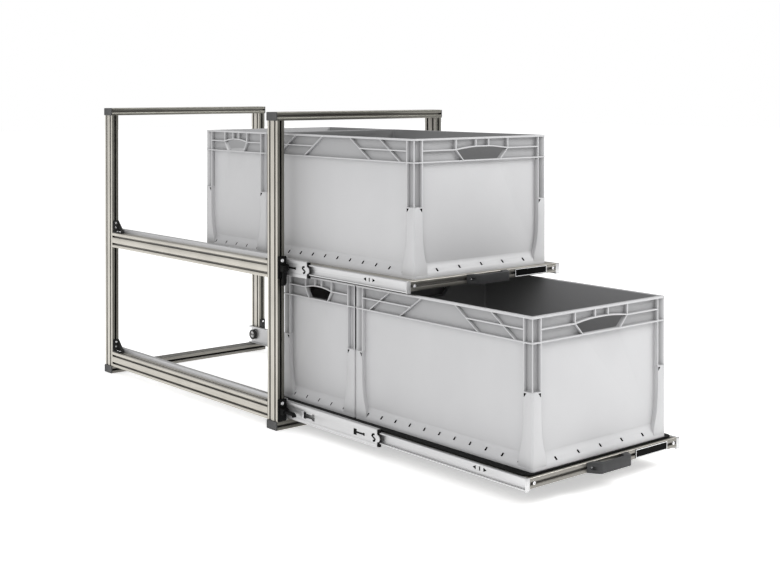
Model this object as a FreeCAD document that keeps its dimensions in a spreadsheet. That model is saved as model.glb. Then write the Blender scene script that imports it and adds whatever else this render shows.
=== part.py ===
"""Two-tier pull-out rack of slotted aluminium profile, with trays on telescopic slides."""
import FreeCAD
import Part
import math
import os
import re
from types import SimpleNamespace

from FreeCAD import Placement, Rotation, Vector

# Every driving size in millimetres, written once
SIZES = {
    "rack_width": 766.0,
    "rack_depth": 1240.0,
    "rack_height": 1100.0,
    "tier_pitch": 494.0,
    # slotted profile
    "profile_wide": 60.0,
    "profile_slim": 30.0,
    "slot_pitch": 30.0,
    "slot_mouth": 8.0,
    "slot_lip": 2.0,
    "slot_inner": 16.0,
    "slot_floor": 8.0,
    "slot_depth": 9.0,
    "core_bore": 6.8,
    "web_void_wide": 18.0,
    "web_void_high": 7.0,
    "cap_thick": 4.0,
    "cap_edge": 1.5,
    # screws
    "screw_head": 8.8,
    "screw_head_high": 5.0,
    "handle_screw_head": 9.6,
    "handle_screw_high": 3.0,
    "handle_pocket": 10.8,
    # corner brackets
    "bracket_leg": 50.0,
    "bracket_wide": 27.0,
    "bracket_thick": 5.0,
    "bracket_web": 3.0,
    "bracket_screw_head": 9.0,
    "bracket_screw_high": 3.0,
    "small_leg": 20.0,
    "small_wide": 18.0,
    "small_thick": 4.0,
    # telescopic slides
    "slide_space": 23.0,
    "slide_axis": 38.0,
    "slide_wall": 2.5,
    "outer_tall": 74.0,
    "outer_open": 17.0,
    "outer_lip": 5.0,
    "middle_tall": 62.0,
    "middle_web": 5.5,
    "middle_open": 19.5,
    "middle_lip": 7.0,
    "inner_tall": 42.0,
    "inner_open": 10.5,
    "inner_lip": 6.0,
    "front_gap": 3.0,
    "rear_gap": 52.0,
    "nose_thick": 2.4,
    "nose_side": 4.8,
    "nose_over": 0.8,
    "cage_clear": 0.25,
    "cage_side": 1.0,
    "cage_length": 520.0,
    # cut-outs of the intermediate members
    "tab_radius": 12.0,
    "hook_back": 20.0,
    "hook_wide": 4.0,
    "hook_high": 9.0,
    "key_back": 94.0,
    "key_long": 52.0,
    "key_wide": 4.0,
    "key_head": 8.0,
    "bone_back": 360.0,
    "bone_long": 52.0,
    "bone_wide": 10.0,
    "bone_head": 8.0,
    # marks in the inner members
    "mark_back": 203.0,
    "mark_gap": 22.0,
    "mark_size": 5.0,
    "mark_raise": 5.0,
    "mark_slot": 3.0,
    # rear stops
    "stop_radius": 21.0,
    "stop_thick": 14.0,
    "stop_inset": 24.0,
    # latches
    "latch_wide": 34.0,
    "latch_below": 36.0,
    "latch_above": 40.0,
    "latch_thick": 6.0,
    "latch_screw": 13.0,
    "latch_screw_raise": 26.0,
    "latch_screw_high": 4.0,
    "ear_radius": 11.0,
    "ear_thick": 4.0,
    "lever_wide": 15.0,
    "lever_gap": 0.5,
    "lever_reach": 61.0,
    "lever_thick": 9.0,
    "lever_hook": 5.0,
    "lever_hub": 9.0,
    "pivot_out": 10.5,
    "pivot_pin": 5.0,
    "pivot_clear": 0.1,
    # trays
    "tray_raise": 29.0,
    "board_thin": 5.0,
    "board_clear": 0.3,
    "board_tongue": 4.0,
    "handle_base": 92.0,
    "handle_front": 69.0,
    "handle_out": 36.0,
    "handle_bar": 13.0,
    "handle_leg": 26.0,
    "handle_high": 30.0,
    "handle_round": 8.0,
    "handle_screw_in": 80.0,
    "handle_seat": 6.0,
    "badge_in": 48.0,
    "badge_long": 152.0,
    "badge_high": 26.0,
    "badge_thick": 2.0,
    "badge_corner": 3.0,
    # crates
    "crate_edge": 30.0,
    "crate_long": 800.0,
    "crate_short": 400.0,
    "crate_tall": 440.0,
    "crate_round": 10.0,
    "rib_deep": 14.0,
    "rib_thick": 4.0,
    "crate_wall": 3.5,
    "crate_floor": 6.0,
    "rim_high": 10.0,
    "upper_rib_drop": 33.0,
    "lower_rib_drop": 75.0,
    "corner_rib_in": 34.0,
    "corner_rib_long": 207.0,
    "corner_bead": 12.0,
    "column_foot": 50.0,
    "skirt_high": 46.0,
    "grip_top": 231.0,
    "grip_bottom": 164.0,
    "grip_high": 34.0,
    "grip_rise": 10.0,
    "grip_frame": 5.0,
    "brace_top_a": 0.195,
    "brace_foot_a": 0.45,
    "brace_top_b": 0.58,
    "brace_foot_b": 0.83,
    "grip_rib": 118.0,
    # how far each stage stands out in the photographed pose
    "upper_stage": 136.0,
    "upper_tray_out": 638.0,
    "lower_stage": 509.0,
    "lower_tray_out": 1145.0,
}

# Sizes that follow from the driving ones
DERIVED = {
    "tray_width": "=rack_width - 2 * profile_slim - 2 * slide_space",
    "crate_width": "=tray_width - 2 * crate_edge",
}
NAMED = SIZES | DERIVED

doc = FreeCAD.newDocument("pull_out_rack")
sheet = doc.addObject("Spreadsheet::Sheet", "sizes")
for row, (alias, value) in enumerate(NAMED.items(), start=1):
    sheet.set(f"A{row}", alias)
    sheet.set(f"B{row}", str(value))
    sheet.setAlias(f"B{row}", alias)
doc.recompute()
s = SimpleNamespace(**{alias: float(sheet.get(alias)) for alias in NAMED})

TIERS = ("lower", "upper")
SIDES = {"left": -1, "right": 1}
ENDS = {"front": -1, "rear": 1}
parts = []

# Places that several pieces share, from the sheet's values
FRONT_Y = -s.profile_wide / 2
REAR_Y = FRONT_Y + s.rack_depth
BEAM_X = s.rack_width / 2 - s.profile_slim
BEAM_Z = {"lower": s.profile_slim, "upper": s.profile_slim + s.tier_pitch}
TRAY_OUT = {"lower": s.lower_tray_out, "upper": s.upper_tray_out}
STAGE_OUT = {"lower": s.lower_stage, "upper": s.upper_stage}
TRAY_OUT_NAME = {"lower": "lower_tray_out", "upper": "upper_tray_out"}
STAGE_NAME = {"lower": "lower_stage", "upper": "upper_stage"}
MIDDLE_LONG = s.rack_depth - s.front_gap - s.tab_radius - s.rear_gap


def expression(text):
    """Return the text with each size name pointing at the sheet."""
    return re.sub(r"\b[a-z][a-z_]*\b", lambda m: f"sizes.{m[0]}" if m[0] in NAMED else m[0], text)


def bind(feature, name, text):
    """Tie one property of a feature to the sheet."""
    feature.setExpression(name, expression(text))


def place(feature, x="0", y="0", z="0"):
    """Tie a piece's position to the sheet and keep the piece for export."""
    for axis, text in zip("xyz", (x, y, z)):
        if text != "0":
            bind(feature, f"Placement.Base.{axis}", text)
    parts.append(feature)
    return feature


def beam_z(tier):
    """Expression for the underside of a tier's side beams."""
    return "profile_slim" if tier == "lower" else "profile_slim + tier_pitch"


# Outline helpers: every loop is a list of edges for one sketch
def polygon(points):
    """Closed outline through the given points."""
    corners = [Vector(u, v, 0) for u, v in points]
    return [Part.LineSegment(a, b) for a, b in zip(corners, corners[1:] + corners[:1])]


def softened(points, rounds):
    """Closed outline through the points, with an arc at each numbered corner."""
    corners = [Vector(u, v, 0) for u, v in points]
    spans = []
    arcs = []
    for index, corner in enumerate(corners):
        radius = rounds.get(index)
        if radius is None:
            spans.append((corner, corner))
            continue
        to_before = (corners[index - 1] - corner).normalize()
        to_after = (corners[(index + 1) % len(corners)] - corner).normalize()
        half = to_before.getAngle(to_after) / 2
        crown = corner + (to_before + to_after).normalize() * (radius / math.sin(half) - radius)
        reach = radius / math.tan(half)
        spans.append((corner + to_before * reach, corner + to_after * reach))
        arcs.append(Part.Arc(spans[-1][0], crown, spans[-1][1]))
    sides = [Part.LineSegment(here[1], there[0]) for here, there in zip(spans, spans[1:] + spans[:1])]
    return sides + arcs


def regular(u, v, across, sides, turn=0.0):
    """Regular outline with the given width across its corners."""
    angles = [math.radians(turn + 360 * index / sides) for index in range(sides)]
    return polygon([(u + across / 2 * math.cos(a), v + across / 2 * math.sin(a)) for a in angles])


def rectangle(u, v, wide, high):
    """Box centred on (u, v)."""
    du, dv = wide / 2, high / 2
    return polygon([(u - du, v - dv), (u + du, v - dv), (u + du, v + dv), (u - du, v + dv)])


def circle(u, v, radius):
    """One full circle."""
    return [Part.Circle(Vector(u, v, 0), Vector(0, 0, 1), radius)]


def rounded_box(u, v, wide, high, radius):
    """Box centred on (u, v) with round corners."""
    half_u = wide / 2 - radius
    half_v = high / 2 - radius
    corners = [(half_u, half_v, 0), (-half_u, half_v, 90), (-half_u, -half_v, 180), (half_u, -half_v, 270)]
    arcs = []
    for du, dv, start in corners:
        full = Part.Circle(Vector(u + du, v + dv, 0), Vector(0, 0, 1), radius)
        arcs.append(Part.ArcOfCircle(full, math.radians(start), math.radians(start + 90)))
    loop = []
    for here, following in zip(arcs, arcs[1:] + arcs[:1]):
        loop.append(here)
        loop.append(Part.LineSegment(here.EndPoint, following.StartPoint))
    return loop


def slot_points():
    """Half-open slot seen along a face: distance along the face, depth into it."""
    mouth = s.slot_mouth / 2
    inner = s.slot_inner / 2
    floor = s.slot_floor / 2
    return [
        (-mouth, 0),
        (-mouth, s.slot_lip),
        (-inner, s.slot_lip),
        (-floor, s.slot_depth),
        (floor, s.slot_depth),
        (inner, s.slot_lip),
        (mouth, s.slot_lip),
        (mouth, 0),
    ]


def slotted_outline(wide, high):
    """Slotted profile centred on the origin, one slot per slot pitch on each face."""
    faces = [
        (wide, Vector(1, 0, 0), Vector(0, -high / 2, 0)),
        (high, Vector(0, 1, 0), Vector(wide / 2, 0, 0)),
        (wide, Vector(-1, 0, 0), Vector(0, high / 2, 0)),
        (high, Vector(0, -1, 0), Vector(-wide / 2, 0, 0)),
    ]
    points = []
    for length, along, middle in faces:
        inward = Vector(-along.y, along.x, 0)
        count = round(length / s.slot_pitch)
        points.append(middle - along * length / 2)
        for index in range(count):
            centre = middle + along * (index - (count - 1) / 2) * s.slot_pitch
            points += [centre + along * u + inward * depth for u, depth in slot_points()]
    return polygon([(p.x, p.y) for p in points])


def slotted_section(wide, high):
    """Outline with the core bore, or with the void of the wide profile, whose ends are covered."""
    outline = slotted_outline(wide, high)
    if wide == high:
        return [outline, regular(0, 0, s.core_bore / math.cos(math.pi / 8), 8, 22.5)]
    void = (s.web_void_high, s.web_void_wide) if wide > high else (s.web_void_wide, s.web_void_high)
    return [outline, rectangle(0, 0, *void)]


def channel(web_x, open_x, tall, lip):
    """C section of folded sheet: web at web_x, flanges to open_x, lips turned inward."""
    turn = math.copysign(s.slide_wall, open_x - web_x)
    top = tall / 2
    upper = [
        (web_x, top),
        (open_x, top),
        (open_x, top - lip),
        (open_x - turn, top - lip),
        (open_x - turn, top - s.slide_wall),
        (web_x + turn, top - s.slide_wall),
    ]
    return polygon(upper + [(x, -z) for x, z in reversed(upper)])


# Feature helpers
def new_body(label):
    """Start a body for one sub-part."""
    body = doc.addObject("PartDesign::Body", label)
    body.Label = label
    return body


def draw(body, role, loops, name="outline", lift=None):
    """Sketch on one of the body's own origin planes."""
    sketch = body.newObject("Sketcher::SketchObject", f"{body.Label}_{name}")
    plane = next(f for f in body.Origin.OriginFeatures if f.Role == role)
    sketch.AttachmentSupport = [(plane, "")]
    sketch.MapMode = "FlatFace"
    if lift is not None:
        bind(sketch, "AttachmentOffset.Base.z", lift)
    for loop in loops:
        sketch.addGeometry(loop, False)
    return sketch


def extrude(body, sketch, length, reverse=False, kind="PartDesign::Pad", name="pad"):
    """Pad or pocket a sketch by a length from the sheet."""
    feature = body.newObject(kind, f"{body.Label}_{name}")
    feature.Profile = sketch
    bind(feature, "Length", length)
    feature.Reversed = reverse
    body.Tip = feature
    return feature


def cut_through(body, sketch, name="cut"):
    """Pocket a sketch right through the body, both ways."""
    feature = body.newObject("PartDesign::Pocket", f"{body.Label}_{name}")
    feature.Profile = sketch
    feature.Type = "ThroughAll"
    feature.SideType = "Symmetric"
    body.Tip = feature
    return feature


def mirror(body, originals, role, name="mirror"):
    """Mirror features of a body in one of its origin planes."""
    plane = next(f for f in body.Origin.OriginFeatures if f.Role == role)
    feature = body.newObject("PartDesign::Mirrored", f"{body.Label}_{name}")
    feature.Originals = originals
    feature.MirrorPlane = (plane, [""])
    body.Tip = feature
    return feature


def group(label, solids):
    """One node that holds several like solids."""
    feature = doc.addObject("Part::Feature", label)
    feature.Label = label
    feature.Shape = Part.makeCompound(solids)
    feature.Placement = Placement()
    parts.append(feature)
    return feature


# Frame of slotted profile
def make_posts():
    """Four posts between the bottom and the top rails."""
    for end, along in ENDS.items():
        for side, across in SIDES.items():
            body = new_body(f"post_{end}_{side}")
            sketch = draw(body, "XY_Plane", slotted_section(s.profile_slim, s.profile_wide))
            extrude(body, sketch, "rack_height - 2 * profile_slim")
            x = f"{across} * (rack_width - profile_slim) / 2"
            y = "0" if end == "front" else "rack_depth - profile_wide"
            place(body, x, y, "profile_slim")


def make_rails():
    """Front and rear rails, laid flat over and under the posts."""
    for level in ("top", "bottom"):
        for end in ENDS:
            body = new_body(f"{level}_rail_{end}")
            sketch = draw(body, "YZ_Plane", slotted_section(s.profile_wide, s.profile_slim))
            extrude(body, sketch, "rack_width")
            y = "0" if end == "front" else "rack_depth - profile_wide"
            z = "rack_height - profile_slim / 2" if level == "top" else "profile_slim / 2"
            place(body, "-rack_width / 2", y, z)


def make_beams():
    """Side beams on edge between the posts, one pair per tier."""
    for tier in TIERS:
        for side, across in SIDES.items():
            body = new_body(f"side_beam_{tier}_{side}")
            sketch = draw(body, "XZ_Plane", slotted_section(s.profile_slim, s.profile_wide))
            extrude(body, sketch, "rack_depth - 2 * profile_wide", True)
            x = f"{across} * (rack_width - profile_slim) / 2"
            place(body, x, "profile_wide / 2", f"{beam_z(tier)} + profile_wide / 2")


def make_end_caps():
    """Moulded caps on both ends of the four rails of a level."""
    for level in ("top", "bottom"):
        centre_z = s.rack_height - s.profile_slim / 2 if level == "top" else s.profile_slim / 2
        caps = []
        for y in (0, s.rack_depth - s.profile_wide):
            cap = Part.makeBox(s.cap_thick, s.profile_wide, s.profile_slim)
            cap = cap.makeChamfer(s.cap_edge, [e for e in cap.Edges if abs(e.CenterOfMass.x) < 0.01])
            low_z = centre_z - s.profile_slim / 2
            cap.translate(Vector(-s.rack_width / 2 - s.cap_thick, y - s.profile_wide / 2, low_z))
            caps.append(cap)
        group(f"end_caps_{level}", both_sides(caps))


def screw(head, high, outward, seat):
    """Hexagon screw head on its seat: the shank is out of sight and 56 of them are left out."""
    ring = [Vector(head / 2, 0, 0)]
    for index in range(1, 7):
        ring.append(Rotation(Vector(0, 0, 1), 60 * index).multVec(ring[0]))
    solid = Part.Face(Part.makePolygon(ring)).extrude(Vector(0, 0, high))
    solid.Placement = Placement(seat, Rotation(Vector(0, 0, 1), outward))
    return solid


def make_frame_screws():
    """Screws in the rails' outer slots, over and under the core bores of the posts."""
    for level in ("top", "bottom"):
        outward = Vector(0, 0, 1 if level == "top" else -1)
        seat_z = s.rack_height - s.slot_depth if level == "top" else s.slot_depth
        screws = []
        for x in (-1, 1):
            for y in (0, s.rack_depth - s.profile_wide):
                for core in (-s.slot_pitch / 2, s.slot_pitch / 2):
                    seat = Vector(x * (s.rack_width - s.profile_slim) / 2, y + core, seat_z)
                    screws.append(screw(s.screw_head, s.screw_head_high, outward, seat))
        group(f"frame_screws_{level}", screws)


def mirrored_x(solid):
    """The same solid on the other side of the rack."""
    return solid.mirror(Vector(), Vector(1, 0, 0))


def both_sides(solids):
    """Solids built for the left side, with their mirror images."""
    return solids + [mirrored_x(solid) for solid in solids]


def make_brackets():
    """Angle brackets between posts and beams: webbed ones at the rear, small ones in front."""
    up = Vector(0, 0, 1)
    post_x = -(s.rack_width - s.profile_slim) / 2
    screws = []
    large = []
    small = []
    for tier in TIERS:
        top = BEAM_Z[tier] + s.profile_wide
        for leg, wide, thick, rear in (
            (s.bracket_leg, s.bracket_wide, s.bracket_thick, True),
            (s.small_leg, s.small_wide, s.small_thick, False),
        ):
            back = Vector(0, 1, 0) if rear else Vector(0, -1, 0)
            corner_y = REAR_Y - s.profile_wide if rear else FRONT_Y + s.profile_wide
            outline = [(0, 0), (leg, 0), (leg, thick), (thick, thick), (thick, leg), (0, leg)]
            web = [(thick, thick), (leg, thick), (thick, leg)]
            solids = []
            for points, width in ((outline, wide), (web, s.bracket_web)):
                ring = [Vector(0, -back.y * y, z) for y, z in points + points[:1]]
                solids.append(Part.Face(Part.makePolygon(ring)).extrude(Vector(width, 0, 0)))
            solids[1].translate(Vector(wide - s.bracket_web, 0, 0))
            bracket = solids[0].fuse(solids[1]).removeSplitter() if rear else solids[0]
            bracket.translate(Vector(post_x - wide / 2, corner_y, top))
            shares = (0.42, 0.8) if rear else (0.62,)
            flat = [Vector(post_x, corner_y - back.y * leg * share, top + thick) for share in shares]
            upright = [Vector(post_x, corner_y - back.y * thick, top + leg * share) for share in shares]
            for seats, outward in ((flat, up), (upright, -back)):
                for seat in seats:
                    screws.append(screw(s.bracket_screw_head, s.bracket_screw_high, outward, seat))
            (large if rear else small).append(bracket)
    group("corner_brackets_rear", both_sides(large))
    group("corner_brackets_front", both_sides(small))
    group("bracket_screws", both_sides(screws))


# Telescopic slides
def slide_z(tier):
    """Expression for a tier's slide centre line."""
    return f"{beam_z(tier)} + slide_axis"


def slide_x(side, depth):
    """Place across the rack, counted inward from the beam's inner face."""
    return SIDES[side] * (BEAM_X - depth)


def make_outer_members():
    """Fixed members on the inner faces of the beams."""
    for tier in TIERS:
        for side in SIDES:
            body = new_body(f"slide_outer_{tier}_{side}")
            section = channel(slide_x(side, 0), slide_x(side, s.outer_open), s.outer_tall, s.outer_lip)
            extrude(body, draw(body, "XZ_Plane", [section]), "rack_depth - front_gap", True)
            place(body, y="front_gap - profile_wide / 2", z=slide_z(tier))


def bone_loop(back, z):
    """Long slot with a wider head at each end."""
    half = s.bone_long / 2
    neck = half - s.bone_head
    low = s.bone_wide / 2
    wide = low + s.bone_head / 2
    right = [(neck, low), (neck, wide), (half, wide)]
    upper = [(-y, v) for y, v in reversed(right)] + right
    return polygon([(back + y, z + v) for y, v in upper + [(y, -v) for y, v in reversed(upper)]])


def key_loop(back):
    """Keyhole: a broad head in front of a narrow slot."""
    half = s.key_long / 2
    thin = s.key_wide / 2
    points = [
        (-half, -s.key_head),
        (-half + s.key_head, -s.key_head),
        (-half + s.key_head, -thin),
        (half, -thin),
        (half, thin),
        (-half + s.key_head, thin),
        (-half + s.key_head, s.key_head),
        (-half, s.key_head),
    ]
    return polygon([(back - y, v) for y, v in points])


def hook_loop(back):
    """Curved relief behind the front tab, a broad S of straight cuts."""
    wide = s.hook_wide / 2
    high = s.hook_high
    centre = [(-high / 2, high), (high / 2, high / 2), (-high / 2, -high / 2), (high / 2, -high)]
    ahead = [(y - wide, v) for y, v in centre]
    behind = [(y + wide, v) for y, v in reversed(centre)]
    return polygon([(back + y, v) for y, v in ahead + behind])


def make_middle_members():
    """Intermediate members with a round front tab and three cut-outs in the web."""
    for tier in TIERS:
        for side in SIDES:
            body = new_body(f"slide_middle_{tier}_{side}")
            web = slide_x(side, s.middle_web)
            section = channel(web, slide_x(side, s.middle_open), s.middle_tall, s.middle_lip)
            length = "rack_depth - front_gap - tab_radius - rear_gap"
            extrude(body, draw(body, "XZ_Plane", [section]), length, True)
            half = Part.Circle(Vector(0, 0, 0), Vector(0, 0, 1), s.tab_radius)
            arc = Part.ArcOfCircle(half, math.radians(90), math.radians(270))
            tab = [arc, Part.LineSegment(arc.EndPoint, arc.StartPoint)]
            inward = side == "left"
            sign = -1 if side == "right" else 1
            lift = f"{-sign} * (rack_width / 2 - profile_slim - middle_web)"
            tab_sketch = draw(body, "YZ_Plane", [tab], "tab_outline", lift)
            extrude(body, tab_sketch, "slide_wall", not inward, name="tab")
            cuts = [hook_loop(s.hook_back), key_loop(s.key_back), bone_loop(s.bone_back, 0)]
            cut_through(body, draw(body, "YZ_Plane", cuts, "cut_outlines"), "cut_outs")
            y = f"front_gap + tab_radius - profile_wide / 2 - {STAGE_NAME[tier]}"
            place(body, y=y, z=slide_z(tier))


def make_inner_members():
    """Inner members on the trays, with a closed nose and three marks in the web."""
    for tier in TIERS:
        for side in SIDES:
            body = new_body(f"slide_inner_{tier}_{side}")
            space = (s.rack_width - s.tray_width) / 2 - s.profile_slim
            section = channel(slide_x(side, space), slide_x(side, s.inner_open), s.inner_tall, s.inner_lip)
            extrude(body, draw(body, "XZ_Plane", [section]), "rack_depth - front_gap - rear_gap", True)
            u0, u1 = slide_x(side, s.nose_side), slide_x(side, space)
            nose = rectangle((u0 + u1) / 2, 0, abs(u1 - u0), s.inner_tall + 2 * s.nose_over)
            extrude(body, draw(body, "XZ_Plane", [nose], "nose_outline"), "nose_thick", name="nose")
            size = s.mark_size
            back = s.mark_back - s.front_gap
            marks = [rectangle(back, s.mark_raise, s.mark_slot, 2 * size)]
            for sign in (-1, 1):
                tip = back + sign * s.mark_gap
                points = [(tip + sign * size, 0), (tip - sign * size, size), (tip - sign * size, -size)]
                marks.append(polygon([(y, s.mark_raise + v) for y, v in points]))
            cut_through(body, draw(body, "YZ_Plane", marks, "mark_outlines"), "marks")
            y = f"front_gap - profile_wide / 2 - {TRAY_OUT_NAME[tier]}"
            place(body, y=y, z=slide_z(tier))


def make_ball_cages():
    """Moulded ball cages above and below, outside and inside each intermediate member."""
    outer_low = s.middle_tall / 2
    outer_high = s.outer_tall / 2 - s.slide_wall - s.cage_clear
    inner_low = s.inner_tall / 2 + s.cage_clear
    inner_high = s.middle_tall / 2 - s.slide_wall
    for tier in TIERS:
        front = FRONT_Y + s.front_gap + s.tab_radius - STAGE_OUT[tier]
        outer_start = front + MIDDLE_LONG - s.cage_length
        side = s.slide_wall + s.cage_side
        rows = (
            (side, s.outer_open - side, outer_low, outer_high, outer_start),
            (s.middle_web + side, s.middle_open - side, inner_low, inner_high, front + s.front_gap),
        )
        cages = []
        for near, far, low, high, start in rows:
            for bottom in (low, -high):
                cage = Part.makeBox(far - near, s.cage_length, high - low)
                cage.translate(Vector(-BEAM_X + near, start, BEAM_Z[tier] + s.slide_axis + bottom))
                cages.append(cage)
        group(f"ball_cages_{tier}", both_sides(cages))


def make_rear_stops():
    """Round stops near the rear ends of the outer members."""
    stops = []
    for tier in TIERS:
        centre = Vector(-BEAM_X + s.slide_wall, REAR_Y - s.stop_inset, BEAM_Z[tier] + s.slide_axis)
        angles = [2 * math.pi * index / 24 for index in range(25)]
        ring = [centre + Vector(0, math.cos(a), math.sin(a)) * s.stop_radius for a in angles]
        ring[-1] = ring[0]
        stops.append(Part.Face(Part.makePolygon(ring)).extrude(Vector(s.stop_thick, 0, 0)))
    group("rear_stops", both_sides(stops))


# Latches on the front posts
def pivot_height(tier):
    """Height of a tier's lever pivots."""
    return BEAM_Z[tier] + s.slide_axis


PIVOT_Y = FRONT_Y - s.latch_thick - s.pivot_out


def make_latch_plates():
    """Moulded plates with two ears and a pivot pin each, and one bright screw each."""
    plates = []
    screws = []
    tall = s.latch_below + s.latch_above
    plate_x = -s.rack_width / 2 + s.latch_wide / 2
    post_x = -(s.rack_width - s.profile_slim) / 2
    gap = s.lever_wide / 2 + s.lever_gap
    for tier in TIERS:
        centre_z = pivot_height(tier)
        plate = Part.makeBox(s.latch_wide, s.latch_thick, tall)
        plate.translate(Vector(plate_x - s.latch_wide / 2, FRONT_Y - s.latch_thick, centre_z - s.latch_below))
        reach = FRONT_Y - PIVOT_Y - s.latch_thick
        nose = s.ear_radius
        under = [(reach, -nose), (-nose / 2, -nose), (-nose, -nose / 2)]
        side = under + [(y, -z) for y, z in reversed(under)]
        ring = [Vector(0, PIVOT_Y + y, centre_z + z) for y, z in side + side[:1]]
        for x in (plate_x - gap - s.ear_thick, plate_x + gap):
            ear = Part.Face(Part.makePolygon(ring)).extrude(Vector(s.ear_thick, 0, 0))
            ear.translate(Vector(x, 0, 0))
            plate = plate.fuse(ear)
        start = Vector(plate_x - gap, PIVOT_Y, centre_z)
        pin = Part.makeCylinder(s.pivot_pin / 2, 2 * gap, start, Vector(1, 0, 0))
        plates.append(plate.fuse(pin).removeSplitter())
        seat = Vector(post_x, FRONT_Y - s.latch_thick, centre_z + s.latch_screw_raise)
        screws.append(screw(s.latch_screw, s.latch_screw_high, Vector(0, -1, 0), seat))
    group("latch_plates", both_sides(plates))
    group("latch_screws", both_sides(screws))


def lever_loops():
    """Side outline of a hanging lever about its pivot: y to the rear, z up."""
    hub = s.lever_hub
    half = s.lever_thick / 2
    reach = s.lever_reach
    start = math.asin(half / hub)
    top = Part.ArcOfCircle(
        Part.Circle(Vector(), Vector(0, 0, 1), hub),
        -math.pi / 2 + start,
        math.pi * 3 / 2 - start,
    )
    right = top.StartPoint
    left = top.EndPoint
    knee = Vector(-half, -reach + s.lever_thick, 0)
    tip = Vector(half + s.lever_hook, -reach + s.lever_thick * 0.6, 0)
    under = Vector(half, -reach, 0)
    outer = Part.LineSegment(knee, under)
    points = [left, knee]
    edges = [top, Part.LineSegment(points[0], points[1]), outer]
    edges.append(Part.LineSegment(under, Vector(half + s.lever_hook, -reach, 0)))
    edges.append(Part.LineSegment(Vector(half + s.lever_hook, -reach, 0), tip))
    edges.append(Part.LineSegment(tip, Vector(half, -reach + s.lever_thick, 0)))
    edges.append(Part.LineSegment(Vector(half, -reach + s.lever_thick, 0), right))
    return [edges, circle(0, 0, s.pivot_pin / 2 + s.pivot_clear)]


def make_levers():
    """Latch levers: hanging on the upper tier, swung forward on the lower tier."""
    for tier in TIERS:
        for side, across in SIDES.items():
            body = new_body(f"latch_lever_{tier}_{side}")
            sketch = draw(body, "YZ_Plane", lever_loops(), lift="-lever_wide / 2")
            extrude(body, sketch, "lever_wide")
            if tier == "lower":
                body.Placement = Placement(Vector(), Rotation(Vector(1, 0, 0), -90))
            x = f"{across} * (rack_width - latch_wide) / 2"
            y = "-profile_wide / 2 - latch_thick - pivot_out"
            place(body, x, y, slide_z(tier))


# Trays
def tray_y(tier):
    """Expression for the front face of a tier's tray."""
    return f"-profile_wide / 2 - {TRAY_OUT_NAME[tier]}"


def tray_z(tier):
    """Expression for the middle height of a tier's tray rails."""
    return f"{beam_z(tier)} + tray_raise + profile_slim / 2"


def make_tray_rails():
    """Square profile frame of each tray: cross rails in front of and behind the side rails."""
    for tier in TIERS:
        for end in ENDS:
            body = new_body(f"tray_rail_{tier}_{end}")
            sketch = draw(body, "YZ_Plane", slotted_section(s.profile_slim, s.profile_slim))
            extrude(body, sketch, "tray_width")
            step = "profile_slim / 2" if end == "front" else "rack_depth - profile_slim / 2"
            place(body, "-tray_width / 2", f"{tray_y(tier)} + {step}", tray_z(tier))
        for side, across in SIDES.items():
            body = new_body(f"tray_rail_{tier}_{side}")
            sketch = draw(body, "XZ_Plane", [slotted_outline(s.profile_slim, s.profile_slim)])
            extrude(body, sketch, "rack_depth - 2 * profile_slim", True)
            x = f"{across} * (tray_width - profile_slim) / 2"
            place(body, x, f"{tray_y(tier)} + profile_slim", tray_z(tier))


def make_boards():
    """Base boards: a thin one on the lower tray's rails, a tongued one let into the upper tray."""
    body = new_body("base_board_lower")
    plate = rectangle(0, s.rack_depth / 2, s.tray_width, s.rack_depth)
    extrude(body, draw(body, "XY_Plane", [plate]), "board_thin")
    place(body, y=tray_y("lower"), z=f"{tray_z('lower')} + profile_slim / 2")

    body = new_body("base_board_upper")
    wide = s.tray_width - 2 * s.profile_slim - 2 * s.board_clear
    long = s.rack_depth - 2 * s.profile_slim - 2 * s.board_clear
    plate = rectangle(0, s.rack_depth / 2, wide, long)
    thick = "profile_slim / 2 + slot_mouth / 2 - board_clear"
    extrude(body, draw(body, "XY_Plane", [plate]), thick, True)
    tongue = rectangle(0, s.rack_depth / 2, wide + 2 * s.board_tongue, long)
    sketch = draw(body, "XY_Plane", [tongue], "tongue_outline", f"-({thick})")
    extrude(body, sketch, "slot_mouth - 2 * board_clear", name="tongue")
    place(body, y=tray_y("upper"), z=f"{tray_z('upper')} + profile_slim / 2")


def make_handles():
    """Bow handles with slanted legs in the middle of the front rails."""
    for tier in TIERS:
        body = new_body(f"handle_{tier}")
        base = s.handle_base
        front = s.handle_front
        slope = (base - front) / s.handle_out
        depth = s.handle_out - s.handle_bar
        inner_front = front - s.handle_leg + slope * s.handle_bar
        outline = [
            (-base, 0),
            (-front, -s.handle_out),
            (front, -s.handle_out),
            (base, 0),
            (base - s.handle_leg, 0),
            (inner_front, -depth),
            (-inner_front, -depth),
            (-base + s.handle_leg, 0),
        ]
        lift = "-handle_high / 2"
        loop = softened(outline, {1: s.handle_round, 2: s.handle_round})
        extrude(body, draw(body, "XY_Plane", [loop], lift=lift), "handle_high")
        places = (-s.handle_screw_in, s.handle_screw_in)
        seats = [regular(x, 0, s.handle_pocket, 12) for x in places]
        seat_sketch = draw(body, "XZ_Plane", seats, "seats", "handle_seat")
        pocket = body.newObject("PartDesign::Pocket", f"handle_{tier}_seats")
        pocket.Profile = seat_sketch
        pocket.Type = "ThroughAll"
        pocket.Reversed = True
        body.Tip = pocket
        place(body, y=tray_y(tier), z=tray_z(tier))


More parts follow.
